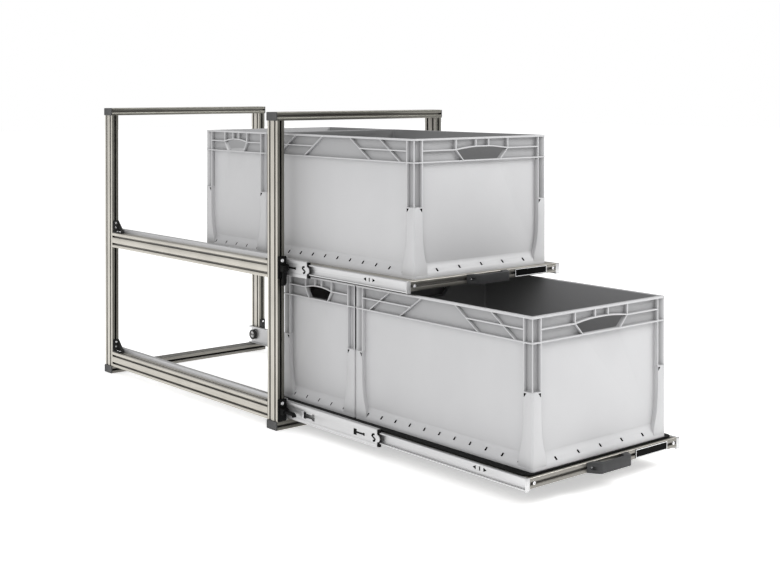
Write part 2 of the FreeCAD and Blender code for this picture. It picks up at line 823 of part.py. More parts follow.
def make_tray_screws():
    """Screws of each tray: two in the handle, four in the cross rails' outer slots."""
    front = Vector(0, -1, 0)
    for tier in TIERS:
        front_y = FRONT_Y - TRAY_OUT[tier]
        centre_z = BEAM_Z[tier] + s.tray_raise + s.profile_slim / 2
        screws = []
        for side in SIDES.values():
            seat = Vector(side * s.handle_screw_in, front_y - s.handle_seat, centre_z)
            screws.append(screw(s.handle_screw_head, s.handle_screw_high, front, seat))
            for outward, y in ((front, s.slot_depth), (-front, s.rack_depth - s.slot_depth)):
                seat = Vector(side * (s.tray_width - s.profile_slim) / 2, front_y + y, centre_z)
                screws.append(screw(s.screw_head, s.screw_head_high, outward, seat))
        group(f"tray_screws_{tier}", screws)


def make_badges():
    """Bare name plates to the right of the handles."""
    for tier in TIERS:
        body = new_body(f"badge_plate_{tier}")
        centre = s.tray_width / 2 - s.badge_in - s.badge_long / 2
        u, v, c = s.badge_long / 2, s.badge_high / 2, s.badge_corner
        quarter = [(u, v - c), (u - c, v)]
        half = quarter + [(-a, b) for a, b in reversed(quarter)]
        loop = polygon([(centre + a, b) for a, b in half + [(-a, -b) for a, b in half]])
        extrude(body, draw(body, "XZ_Plane", [loop]), "badge_thick")
        place(body, y=tray_y(tier), z=tray_z(tier))


# Crates
def strip_cells(edges, low, high):
    """Cells between ribs given as (low place, high place) pairs, from one end to the other."""
    cells = []
    half = s.rib_thick / 2
    for (a_low, a_high), (b_low, b_high) in zip(edges, edges[1:]):
        cells.append([(a_low + half, low), (b_low - half, low), (b_high - half, high), (a_high + half, high)])
    return cells


def wall_cells(length, long_side):
    """Outlines of the hollows between a wall's ribs: place along the wall, height."""
    half = length / 2
    top = s.crate_tall
    rim = top - s.rim_high
    upper_rib = top - s.upper_rib_drop
    lower_rib = top - s.lower_rib_drop
    t = s.rib_thick / 2
    bead = half - s.corner_bead
    inner = half - s.corner_rib_in
    cells = []
    for sign in (-1, 1):
        narrow = sorted((sign * (bead), sign * (inner + t)))
        for low, high in ((top - s.corner_rib_long, lower_rib - t), (lower_rib + t, rim)):
            cells.append([(narrow[0], low), (narrow[1], low), (narrow[1], high), (narrow[0], high)])
    foot = half - s.column_foot
    knee = top - s.corner_rib_long
    panel = [
        (-foot, s.skirt_high),
        (foot, s.skirt_high),
        (inner - t, knee),
        (inner - t, lower_rib - t),
        (-inner + t, lower_rib - t),
        (-inner + t, knee),
    ]
    cells.append(panel)
    if long_side:
        foot_a, top_a, foot_b, top_b = (
            share * half for share in (s.brace_foot_a, s.brace_top_a, s.brace_foot_b, s.brace_top_b)
        )
        share = (upper_rib - lower_rib) / (rim - lower_rib)
        mid_a = foot_a + (top_a - foot_a) * share
        mid_b = foot_b + (top_b - foot_b) * share
        lower_row = [(foot_a, mid_a), (foot_b, mid_b), (inner, inner)]
        upper_row = [(mid_a, top_a), (mid_b, top_b), (inner, inner)]
        rows = ((lower_row, lower_rib + t, upper_rib - t), (upper_row, upper_rib + t, rim))
        for sign in (-1, 1):
            for row, low, high in rows:
                lines = sorted((sign * a, sign * b) for a, b in row)
                cells += strip_cells(lines, low, high)
        low, high = lower_rib + t, rim
        cells.append([(-foot_a + t, low), (foot_a - t, low), (top_a - t, high), (-top_a + t, high)])
    else:
        grip = s.grip_top / 2 + s.grip_frame
        row = [(-inner, -inner), (-grip, -grip)]
        cells += strip_cells(row, lower_rib + t, upper_rib - t)
        cells += strip_cells([(-b, -a) for a, b in reversed(row)], lower_rib + t, upper_rib - t)
        ribs = [-inner, -s.grip_rib, s.grip_rib, inner]
        cells += strip_cells([(x, x) for x in ribs], upper_rib + t + s.grip_rise / 2, rim)
    return cells


def grip_loop():
    """Outline of a hand hole: straight sides that lean out, and a bowed top."""
    low = s.crate_tall - s.lower_rib_drop + s.rib_thick / 2
    high = low + s.grip_high
    left_low = Vector(-s.grip_bottom / 2, low, 0)
    right_low = Vector(s.grip_bottom / 2, low, 0)
    right_high = Vector(s.grip_top / 2, high, 0)
    left_high = Vector(-s.grip_top / 2, high, 0)
    crown = Vector(0, high + s.grip_rise, 0)
    return [
        Part.LineSegment(left_low, right_low),
        Part.LineSegment(right_low, right_high),
        Part.Arc(right_high, crown, left_high),
        Part.LineSegment(left_high, left_low),
    ]


def make_crate(label, length_name, grip_on_x, tier, start):
    """Open crate with ribbed rim, corner columns, a flared foot and two hand holes."""
    body = new_body(label)
    wide = s.crate_width
    long_length = getattr(s, length_name)
    block = rounded_box(0, 0, wide, long_length, s.crate_round)
    extrude(body, draw(body, "XY_Plane", [block]), "crate_tall", name="block")
    inset = s.rib_deep + s.crate_wall
    hollow = rectangle(0, 0, wide - 2 * inset, long_length - 2 * inset)
    hollow_sketch = draw(body, "XY_Plane", [hollow], "hollow_outline", "crate_floor")
    extrude(body, hollow_sketch, "crate_tall", True, "PartDesign::Pocket", "hollow")
    spans = {"XZ_Plane": wide, "YZ_Plane": long_length}
    outs = {"XZ_Plane": f"{length_name} / 2", "YZ_Plane": "crate_width / 2"}
    for role, span in spans.items():
        grip_here = (role == "YZ_Plane") == grip_on_x
        loops = [polygon(points) for points in wall_cells(span, not grip_here)]
        sketch = draw(body, role, loops, f"cells_{role[:2]}", outs[role])
        pocket = extrude(body, sketch, "rib_deep", False, "PartDesign::Pocket", f"cells_{role[:2]}_cut")
        mirror(body, [pocket], role, f"cells_{role[:2]}_mirror")
        if grip_here:
            cut_through(body, draw(body, role, [grip_loop()], "grip_outline"), "grips")
    y = f"{tray_y(tier)} + {start}"
    z = f"{tray_z(tier)} + profile_slim / 2"
    if tier == "lower":
        z += " + board_thin"
    place(body, y=y, z=z)
    return body


def make_crates():
    """A long crate in front of a short one on each tray."""
    spare = "(rack_depth - crate_long - crate_short) / 2"
    for tier in TIERS:
        make_crate(f"crate_long_{tier}", "crate_long", False, tier, f"{spare} + crate_long / 2")
        rear = f"{spare} + crate_long + crate_short / 2"
        make_crate(f"crate_short_{tier}", "crate_short", True, tier, rear)


make_posts()
make_rails()
make_beams()
make_end_caps()
make_frame_screws()
make_brackets()
make_outer_members()
make_middle_members()
make_inner_members()
make_ball_cages()
make_rear_stops()
make_latch_plates()
make_levers()
make_tray_rails()
make_boards()
make_handles()
make_tray_screws()
make_badges()
make_crates()

doc.recompute()

# Nothing is written unless every piece is sound
for feature in doc.Objects:
    if "Invalid" in feature.State or "Error" in feature.State:
        raise RuntimeError(f"{feature.Label} did not compute")
for piece in parts:
    if piece.Shape.isNull() or not piece.Shape.isValid():
        raise RuntimeError(f"{piece.Label} has no valid shape")

os.makedirs("parts", exist_ok=True)
for piece in parts:
    piece.Shape.exportStep(f"parts/{piece.Label}.step")
    box = piece.Shape.BoundBox
    spans = ((box.XMin, box.XMax), (box.YMin, box.YMax), (box.ZMin, box.ZMax))
    extent = ", ".join(f"{low:.1f}..{high:.1f}" for low, high in spans)
    print(f"{piece.Label}: {len(piece.Shape.Solids)} solids, {piece.Shape.Volume / 1000:.1f} cm3, {extent}")
print(f"{len(parts)} nodes")
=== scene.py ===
"""Two-tier pull-out rack of slotted aluminium profile, dressed for a studio photograph."""
import logging
import math
from collections.abc import Callable, Iterable, Sequence
from dataclasses import dataclass
from enum import Enum

import bmesh
import bpy
from mathutils import Matrix, Vector


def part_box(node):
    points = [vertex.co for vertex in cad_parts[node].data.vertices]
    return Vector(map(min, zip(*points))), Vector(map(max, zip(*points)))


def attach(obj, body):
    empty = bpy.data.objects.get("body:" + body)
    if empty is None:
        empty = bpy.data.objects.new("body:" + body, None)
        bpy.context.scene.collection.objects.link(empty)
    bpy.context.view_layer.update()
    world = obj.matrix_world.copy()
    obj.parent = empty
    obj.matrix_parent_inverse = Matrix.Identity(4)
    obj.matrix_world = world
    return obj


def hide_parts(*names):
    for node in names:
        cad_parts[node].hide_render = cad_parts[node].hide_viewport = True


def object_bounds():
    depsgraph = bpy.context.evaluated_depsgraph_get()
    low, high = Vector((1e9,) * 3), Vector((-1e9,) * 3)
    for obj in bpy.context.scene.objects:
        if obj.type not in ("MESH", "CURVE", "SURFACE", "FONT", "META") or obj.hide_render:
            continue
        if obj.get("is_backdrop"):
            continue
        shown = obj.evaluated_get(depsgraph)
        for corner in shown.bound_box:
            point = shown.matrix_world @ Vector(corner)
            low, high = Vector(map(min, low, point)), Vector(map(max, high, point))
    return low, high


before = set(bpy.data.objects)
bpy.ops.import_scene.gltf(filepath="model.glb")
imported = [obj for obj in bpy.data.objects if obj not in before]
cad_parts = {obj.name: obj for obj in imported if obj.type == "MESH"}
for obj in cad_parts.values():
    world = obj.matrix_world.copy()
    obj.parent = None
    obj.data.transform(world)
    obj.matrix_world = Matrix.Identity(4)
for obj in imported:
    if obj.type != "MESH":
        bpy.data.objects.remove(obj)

MM = 0.001
LOG = logging.getLogger("rack")
Triple = tuple[float, float, float]
Row = Sequence[float]
Test = Callable[[Vector, Vector], bool]
Material = bpy.types.Material
TIERS = ("lower", "upper")
SIDES = {"left": -1, "right": 1}
ENDS = (-1, 1)
CORNERS = ((-1, -1), (-1, 1), (1, -1), (1, 1))
UP = (0, 0, 1)
FRONT = (0, -1, 0)
ALIGNED = 0.9  # least share of a unit direction that counts as running along an axis
PAST = 5.0  # how far a cutter reaches past what it cuts
WHITE = (1.0, 1.0, 1.0)


class Kind(Enum):
    """What an edit-mode selection holds."""

    VERT = "VERT"
    EDGE = "EDGE"
    FACE = "FACE"


class Axis(Enum):
    """The three directions of the frame."""

    X = 0
    Y = 1
    Z = 2

    @property
    def beside(self) -> "Axis":
        """The other of the two level directions."""
        return Axis.Y if self is Axis.X else Axis.X

    def move(self, far: float) -> list[float]:
        """A move along this direction only."""
        return [far if self is other else 0.0 for other in Axis]

    def stretch(self, factor: float) -> list[float]:
        """Factors that resize along this direction only."""
        return [factor if self is other else 1.0 for other in Axis]


# -------- modelling


def metres(values: Iterable[float]) -> list[float]:
    """Millimetres as metres."""
    return [value * MM for value in values]


def span(sign: float, near: float, far: float) -> list[float]:
    """Two distances to one side of a middle plane, as a low and a high place."""
    return sorted((sign * near, sign * far))


def box_of(node: str) -> tuple[Vector, Vector]:
    """Lowest and highest corner of a node, in millimetres."""
    low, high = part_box(node)
    return low / MM, high / MM


def clear_selection() -> None:
    """Leave edit mode and select nothing."""
    if bpy.context.object is not None and bpy.context.object.mode != "OBJECT":
        bpy.ops.object.mode_set(mode="OBJECT")
    bpy.ops.object.select_all(action="DESELECT")


class Blank:
    """A mesh on the bench: a primitive at its size and place, shaped in edit mode. Sizes are in millimetres."""

    def __init__(self, obj: bpy.types.Object) -> None:
        """Take over an object whose place is already in its mesh."""
        self.obj = obj

    @classmethod
    def block(cls, low: Row, high: Row) -> "Blank":
        """Start from a cube.

        Args:
            low: Lowest corner.
            high: Highest corner.

        Returns:
            The new blank.
        """
        clear_selection()
        centre = metres((a + b) / 2 for a, b in zip(low, high))
        size = metres(b - a for a, b in zip(low, high))
        bpy.ops.mesh.primitive_cube_add(size=1, location=centre, scale=size)
        return cls._settled()

    @classmethod
    def slab(cls, across: Axis, out: Row, along: Row, up: Row) -> "Blank":
        """Start from a cube on an upright wall: its ranges across the wall, along it and upwards."""
        x, y = (out, along) if across is Axis.X else (along, out)
        return cls.block((x[0], y[0], up[0]), (x[1], y[1], up[1]))

    @classmethod
    def disc(cls, centre: Row, radius: float, thick: float, axis: Axis, sides: int) -> "Blank":
        """Start from a cylinder.

        Args:
            centre: Its middle.
            radius: Its radius.
            thick: Its length along the axis.
            axis: The direction of its length.
            sides: How many sides it has.

        Returns:
            The new blank.
        """
        clear_selection()
        turn = {Axis.X: (0, math.pi / 2, 0), Axis.Y: (math.pi / 2, 0, 0), Axis.Z: (0, 0, 0)}[axis]
        bpy.ops.mesh.primitive_cylinder_add(
            vertices=sides, radius=radius * MM, depth=thick * MM, location=metres(centre), rotation=turn
        )
        return cls._settled()

    @classmethod
    def _settled(cls) -> "Blank":
        """Put the new primitive's place into its mesh."""
        bpy.ops.object.transform_apply(location=True, rotation=True, scale=True)
        return cls(bpy.context.object)

    @classmethod
    def of_node(cls, node: str) -> "Blank":
        """Start from a merged copy of a node's solid."""
        clear_selection()
        obj = bpy.data.objects.new(f"copy_{node}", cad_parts[node].data.copy())
        bpy.context.collection.objects.link(obj)
        made = cls(obj).all()
        bpy.ops.mesh.remove_doubles(threshold=0.00001)
        bpy.ops.mesh.dissolve_limited(angle_limit=math.radians(0.5))
        clear_selection()
        return made

    def activate(self) -> None:
        """Make it the one selected object."""
        clear_selection()
        self.obj.select_set(True)
        bpy.context.view_layer.objects.active = self.obj

    def pick(self, test: Test, kind: Kind = Kind.FACE) -> "Blank":
        """Select what passes a test, in edit mode.

        Args:
            test: Takes the middle in millimetres, and the normal, or an edge's direction.
            kind: What to select.

        Returns:
            This blank.
        """
        if bpy.context.object is not self.obj or self.obj.mode != "EDIT":
            self.activate()
            bpy.ops.object.mode_set(mode="EDIT")
        bpy.ops.mesh.select_mode(type=kind.value)
        bpy.ops.mesh.select_all(action="DESELECT")
        shape = bmesh.from_edit_mesh(self.obj.data)
        shape.normal_update()
        if kind is Kind.FACE:
            found = [(face, face.calc_center_median(), face.normal) for face in shape.faces]
        elif kind is Kind.EDGE:
            ends = [(edge, *(v.co for v in edge.verts)) for edge in shape.edges]
            found = [(edge, (a + b) / 2, (b - a).normalized()) for edge, a, b in ends]
        else:
            found = [(vert, vert.co, vert.normal) for vert in shape.verts]
        for item, middle, way in found:
            if test(middle / MM, way):
                item.select_set(True)
        shape.select_flush_mode()
        bmesh.update_edit_mesh(self.obj.data)
        return self

    def facing(self, direction: Row, where: Callable[[Vector], bool] = lambda c: True) -> "Blank":
        """Select the faces that look in a direction, narrowed by their middle."""
        way = Vector(direction).normalized()
        return self.pick(lambda c, n: n.dot(way) > 0.98 and where(c))

    def edges(self, axis: Axis, where: Callable[[Vector], bool] = lambda c: True) -> "Blank":
        """Select the edges that run along an axis, narrowed by their middle."""
        return self.pick(lambda c, d: abs(d[axis.value]) > ALIGNED and where(c), Kind.EDGE)

    def inset(self, thick: float) -> "Blank":
        """Inset the selected faces."""
        bpy.ops.mesh.inset(thickness=thick * MM, depth=0.0)
        return self

    def extrude(self, move: Row) -> "Blank":
        """Extrude the selected faces by a move."""
        bpy.ops.mesh.extrude_region_move(TRANSFORM_OT_translate={"value": metres(move)})
        return self

    def slide(self, move: Row) -> "Blank":
        """Move what is selected."""
        bpy.ops.transform.translate(value=metres(move))
        return self

    def grow(self, factor: Row, centre: Row = (0, 0, 0)) -> "Blank":
        """Resize what is selected about a centre."""
        bpy.ops.transform.resize(value=factor, center_override=metres(centre))
        return self

    def land(self, low: Row) -> "Blank":
        """Move the whole mesh so that its lowest corner is at a place."""
        clear_selection()
        points = [v.co for v in self.obj.data.vertices]
        now = [min(point[i] for point in points) / MM for i in range(3)]
        return self.all().slide([a - b for a, b in zip(low, now)])

    def spin_round(self, degrees: float, axis: Axis, centre: Row = (0, 0, 0)) -> "Blank":
        """Turn what is selected about a centre."""
        way = tuple(axis is other for other in Axis)
        bpy.ops.transform.rotate(
            value=math.radians(degrees), orient_axis=axis.name, center_override=metres(centre), constraint_axis=way
        )
        return self

    def chamfer(self, wide: float, steps: int) -> "Blank":
        """Bevel the selected edges."""
        bpy.ops.mesh.bevel(offset=wide * MM, segments=steps, affect="EDGES", clamp_overlap=True)
        return self

    def slice_at(self, places: Iterable[float], axis: Axis) -> "Blank":
        """Bisect the whole mesh at places along an axis."""
        self.pick(lambda c, n: True)
        for place in places:
            bpy.ops.mesh.select_all(action="SELECT")
            bpy.ops.mesh.bisect(plane_co=metres(axis.move(place)), plane_no=axis.move(1.0))
        return self

    def remove(self) -> "Blank":
        """Delete the selected faces."""
        bpy.ops.mesh.delete(type="FACE")
        return self

    def all(self) -> "Blank":
        """Select the whole mesh."""
        return self.pick(lambda c, n: True, Kind.VERT)

    def outward(self) -> "Blank":
        """Turn all the faces outwards."""
        self.pick(lambda c, n: True)
        bpy.ops.mesh.normals_make_consistent(inside=False)
        return self

    def modifier(self, kind: str, **settings: object) -> "Blank":
        """Add a modifier and apply it."""
        self.activate()
        made = self.obj.modifiers.new(kind.lower(), kind)
        for name, value in settings.items():
            setattr(made, name, value)
        bpy.ops.object.modifier_apply(modifier=made.name)
        return self

    def soften(self, wide: float, steps: int, angle: float) -> "Blank":
        """Round the edges that are sharper than an angle."""
        limit = math.radians(angle)
        return self.modifier(
            "BEVEL", width=wide * MM, segments=steps, limit_method="ANGLE", angle_limit=limit, harden_normals=False
        )

    def smooth(self, angle: float) -> "Blank":
        """Shade it smooth, with edges sharper than the angle kept."""
        self.activate()
        bpy.ops.object.shade_smooth_by_angle(angle=math.radians(angle))
        return self

    def copy(self, move: Row = (0, 0, 0), flip: Axis | None = None) -> "Blank":
        """Copy it with a mesh of its own.

        Args:
            move: How far the copy is moved, after any flip.
            flip: Mirror the copy across this axis' zero plane.

        Returns:
            The copy.
        """
        clear_selection()
        twin = self.obj.copy()
        twin.data = self.obj.data.copy()
        bpy.context.collection.objects.link(twin)
        turned = Matrix.Identity(4)
        if flip is not None:
            turned[flip.value][flip.value] = -1
        twin.data.transform(Matrix.Translation(metres(move)) @ turned)
        if flip is not None:
            twin.data.flip_normals()
        return Blank(twin)

    def cut(self, cutter: "Blank") -> "Blank":
        """Cut another blank out of this one, and give the cut its material."""
        settings = {"operation": "DIFFERENCE", "solver": "EXACT", "material_mode": "TRANSFER", "use_self": True}
        self.modifier("BOOLEAN", object=cutter.obj, **settings)
        cutter.discard()
        return self

    def discard(self) -> None:
        """Take it off the bench."""
        clear_selection()
        bpy.data.objects.remove(self.obj)

    def named(self, name: str, body: str, slot: str, *nodes: str) -> None:
        """Name the piece, let it ride on its body, and put it in place of CAD nodes."""
        clear_selection()
        self.obj.name = name
        self.obj.data.name = name
        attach(self.obj, body)
        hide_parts(*nodes)
        LOG.info("%s on %s, %d faces", name, body, len(self.obj.data.polygons))

    def dress(self, *materials: Material) -> "Blank":
        """Give the piece its materials, in the order of its slots."""
        self.obj.data.materials.clear()
        for material in materials:
            self.obj.data.materials.append(material)
        return self

    def paint(self, test: Test, index: int) -> "Blank":
        """Give the faces that pass a test another of the piece's materials."""
        clear_selection()
        for face in self.obj.data.polygons:
            if test(face.center / MM, face.normal):
                face.material_index = index
        return self


def joined(blanks: Sequence[Blank]) -> Blank:
    """Make one mesh of several blanks."""
    clear_selection()
    for blank in blanks:
        blank.obj.select_set(True)
    bpy.context.view_layer.objects.active = blanks[0].obj
    if len(blanks) > 1:
        bpy.ops.object.join()
    return blanks[0]


# -------- finishes


def sum_of(operation: str, swapped: bool = False) -> Callable[["Value", "Value | float"], "Value"]:
    """Make a method that adds a Math node, with its two values swapped on request."""
    return lambda self, other: self.graph.math(operation, *((other, self) if swapped else (self, other)))


class Value:
    """A socket that can be used in sums."""

    __add__ = __radd__ = sum_of("ADD")
    __sub__ = sum_of("SUBTRACT")
    __rsub__ = sum_of("SUBTRACT", True)
    __mul__ = sum_of("MULTIPLY")
    higher = sum_of("MAXIMUM")
    lower = sum_of("MINIMUM")

    def __init__(self, graph: "Graph", socket: bpy.types.NodeSocket) -> None:
        """Wrap a socket of a graph."""
        self.graph = graph
        self.socket = socket

    def __abs__(self) -> "Value":
        """Size without its sign."""
        return self.graph.math("ABSOLUTE", self)

    def step(self, start: float, end: float, low: float = 0.0, high: float = 1.0) -> "Value":
        """Change smoothly from low at start to high at end."""
        sockets = {"Value": self, "From Min": start, "From Max": end, "To Min": low, "To Max": high}
        return self.graph.value("ShaderNodeMapRange", "Result", {"interpolation_type": "SMOOTHSTEP"}, sockets)


class Graph:
    """The nodes of one tree, linked as they are made."""

    def __init__(self, tree: bpy.types.NodeTree) -> None:
        """Start with an empty tree."""
        self.tree = tree
        tree.nodes.clear()

    def node(self, kind: str, settings: dict[str, str] | None = None, sockets: dict | None = None) -> bpy.types.Node:
        """Add a node.

        Args:
            kind: The node's type.
            settings: Its own settings, set first.
            sockets: Values or links of its sockets.

        Returns:
            The node.
        """
        made = self.tree.nodes.new(kind)
        for name, value in (settings or {}).items():
            setattr(made, name, value)
        for name, value in (sockets or {}).items():
            self.feed(made.inputs[name], value)
        return made

    def value(self, kind: str, output: str | int, settings: dict | None = None, sockets: dict | None = None) -> Value:
        """Add a node and take one of its outputs."""
        return Value(self, self.node(kind, settings, sockets).outputs[output])

    def feed(self, target: bpy.types.NodeSocket, value: object) -> None:
        """Link a wrapped socket, or set a plain value."""
        if isinstance(value, Value):
            self.tree.links.new(value.socket, target)
        elif isinstance(value, tuple) and len(value) == 3 and target.type == "RGBA":
            target.default_value = (*value, 1.0)
        else:
            target.default_value = value

    def math(self, operation: str, *values: "Value | float") -> Value:
        """Add a Math node."""
        return self.value("ShaderNodeMath", 0, {"operation": operation}, dict(enumerate(values)))

    def place(self, output: str = "Object") -> Value:
        """Object coordinates, unless another output is named."""
        return self.value("ShaderNodeTexCoord", output)

    def split(self, vector: Value) -> tuple[Value, Value, Value]:
        """X, Y and Z of a vector."""
        made = self.node("ShaderNodeSeparateXYZ", None, {"Vector": vector})
        return tuple(Value(self, output) for output in made.outputs)

    def dot(self, vector: Value, way: Triple) -> Value:
        """How far a direction agrees with another."""
        return self.value("ShaderNodeVectorMath", "Value", {"operation": "DOT_PRODUCT"}, {0: vector, 1: way})

    def stretched(self, scale: Triple) -> Value:
        """Object coordinates, scaled per axis."""
        return self.value("ShaderNodeMapping", 0, None, {"Vector": self.place(), "Scale": scale})

    def noise(self, vector: Value, scale: float, detail: float = 3.0, rough: float = 0.5) -> Value:
        """A noise pattern from 0 to 1."""
        sockets = {"Vector": vector, "Scale": scale, "Detail": detail, "Roughness": rough}
        return self.value("ShaderNodeTexNoise", "Fac", None, sockets)

    def mix(self, a: object, b: object, share: object) -> Value:
        """Mix two colours."""
        return self.value("ShaderNodeMix", 2, {"data_type": "RGBA"}, {0: share, 6: a, 7: b})


class Finish(Graph):
    """The nodes of one material round a Principled shader."""

    def __init__(self, name: str) -> None:
        """Start a material with its shader and output."""
        self.material = bpy.data.materials.new(name)
        self.material.use_nodes = True
        super().__init__(self.material.node_tree)
        output = self.node("ShaderNodeOutputMaterial")
        self.shader = self.node("ShaderNodeBsdfPrincipled")
        self.tree.links.new(self.shader.outputs[0], output.inputs["Surface"])

    def set(self, **sockets: object) -> None:
        """Set the shader's own sockets, by name with _ for a space."""
        for name, value in sockets.items():
            self.feed(self.shader.inputs[name.replace("_", " ")], value)

    def bump(self, height: Value, strength: float, distance: float) -> None:
        """Feed a bump into the shader's normal."""
        sockets = {"Height": height, "Strength": strength, "Distance": distance}
        self.set(Normal=self.value("ShaderNodeBump", 0, None, sockets))


def grey(level: float, blue: float | None = None) -> Triple:
    """A grey, with another level of blue where one is given."""
    return level, level, level if blue is None else blue


@dataclass(frozen=True)
class Brushed:
    """Metal with drawing streaks along one axis."""

    name: str
    colour: Triple
    dark: Triple
    roughness: float
    axis: Axis
    fine: float = 900.0
    wear: float = 0.08

    def material(self) -> Material:
        """Build the material."""
        graph = Finish(f"{self.name}_{self.axis.name.lower()}")
        along = tuple(4.0 if axis is self.axis else self.fine for axis in Axis)
        streaks = graph.noise(graph.stretched(along), 1.0, 4.0, 0.6)
        broad = graph.noise(graph.place(), 9.0)
        tone = (streaks * 0.65 + broad * 0.35).step(0.25, 0.75)
        graph.set(
            Base_Color=graph.mix(self.dark, self.colour, tone),
            Metallic=0.9,
            Roughness=self.roughness + (streaks - 0.5) * 0.22 + (broad - 0.5) * self.wear,
        )
        graph.bump(streaks, 0.12, 0.0004)
        return graph.material


@dataclass(frozen=True)
class Moulded:
    """Moulded or sprayed finish with a fine grain and faint blotches."""

    name: str
    colour: Triple
    light: Triple
    roughness: float
    grain: float = 1500.0
    bump: float = 0.15
    metallic: float = 0.0
    shine: float = 0.5

    def material(self) -> Material:
        """Build the material."""
        graph = Finish(self.name)
        grain = graph.noise(graph.place(), self.grain, 2.0)
        cloud = graph.noise(graph.place(), 24.0, 4.0)
        tone = (cloud * 0.7 + grain * 0.3).step(0.3, 0.75)
        graph.set(
            Base_Color=graph.mix(self.colour, self.light, tone),
            Metallic=self.metallic,
            Roughness=self.roughness + (cloud - 0.5) * 0.18 + (grain - 0.5) * 0.08,
            Specular_IOR_Level=self.shine,
        )
        graph.bump(grain, self.bump, 0.0003)
        return graph.material


@dataclass(frozen=True)
class CratePlastic:
    """Grey moulded plastic, with painted shade on the inner walls and floor and in the recessed wall panels."""

    name: str
    centre: Triple
    half: Triple
    wall: float
    colour: Triple = grey(0.45, 0.457)
    light: Triple = grey(0.475, 0.481)
    # Painted shade: the inner walls and floor get this dark grey in place of the shade that falls inside the crate.
    inner: Triple = grey(0.215, 0.218)
    # Painted shade for the recessed faces of the walls.
    shade: Triple = grey(0.30, 0.305)
    band: float = 366.0
    shelf: float = 227.0
    post: float = 34.0

    def material(self) -> Material:
        """Build the material."""
        graph = Finish(self.name)
        x, y, z = graph.split(graph.place())
        side = self.half[0] * MM - abs(x - self.centre[0] * MM)
        end = self.half[1] * MM - abs(y - self.centre[1] * MM)
        depth = side.lower(end)
        # Mask of the inner walls and floor, which take the painted shade.
        inside = depth.step((self.wall - 1.6) * MM, (self.wall - 0.4) * MM)
        foot = (self.centre[2] - self.half[2]) * MM
        upper = z.step(foot + self.band * MM, foot + (self.band + 1) * MM)
        tall = z.step(foot + self.shelf * MM, foot + (self.shelf + 1) * MM)
        corner = side.higher(end).step(self.post * MM, (self.post + 1) * MM)
        # Mask of the recessed faces above the lower rib, and above the shelf at the corners, which take the painted
        # shade.
        sunk = depth.step(1.5 * MM, 12 * MM) * upper.higher(tall * (1 - corner))
        grain = graph.noise(graph.place(), 1400.0, 2.0)
        cloud = graph.noise(graph.place(), 7.0, 4.0)
        flow = graph.noise(graph.stretched((9.0, 9.0, 2.0)), 1.0)
        tone = (cloud * 0.5 + flow * 0.3 + grain * 0.2).step(0.25, 0.75)
        outer = graph.mix(graph.mix(self.colour, self.light, tone), self.shade, sunk * 0.8)
        graph.set(
            Base_Color=graph.mix(outer, self.inner, inside),
            Roughness=0.46 + (cloud - 0.5) * 0.16 + (grain - 0.5) * 0.08,
            Specular_IOR_Level=0.4,
        )
        graph.bump(grain, 0.1, 0.0003)
        return graph.material


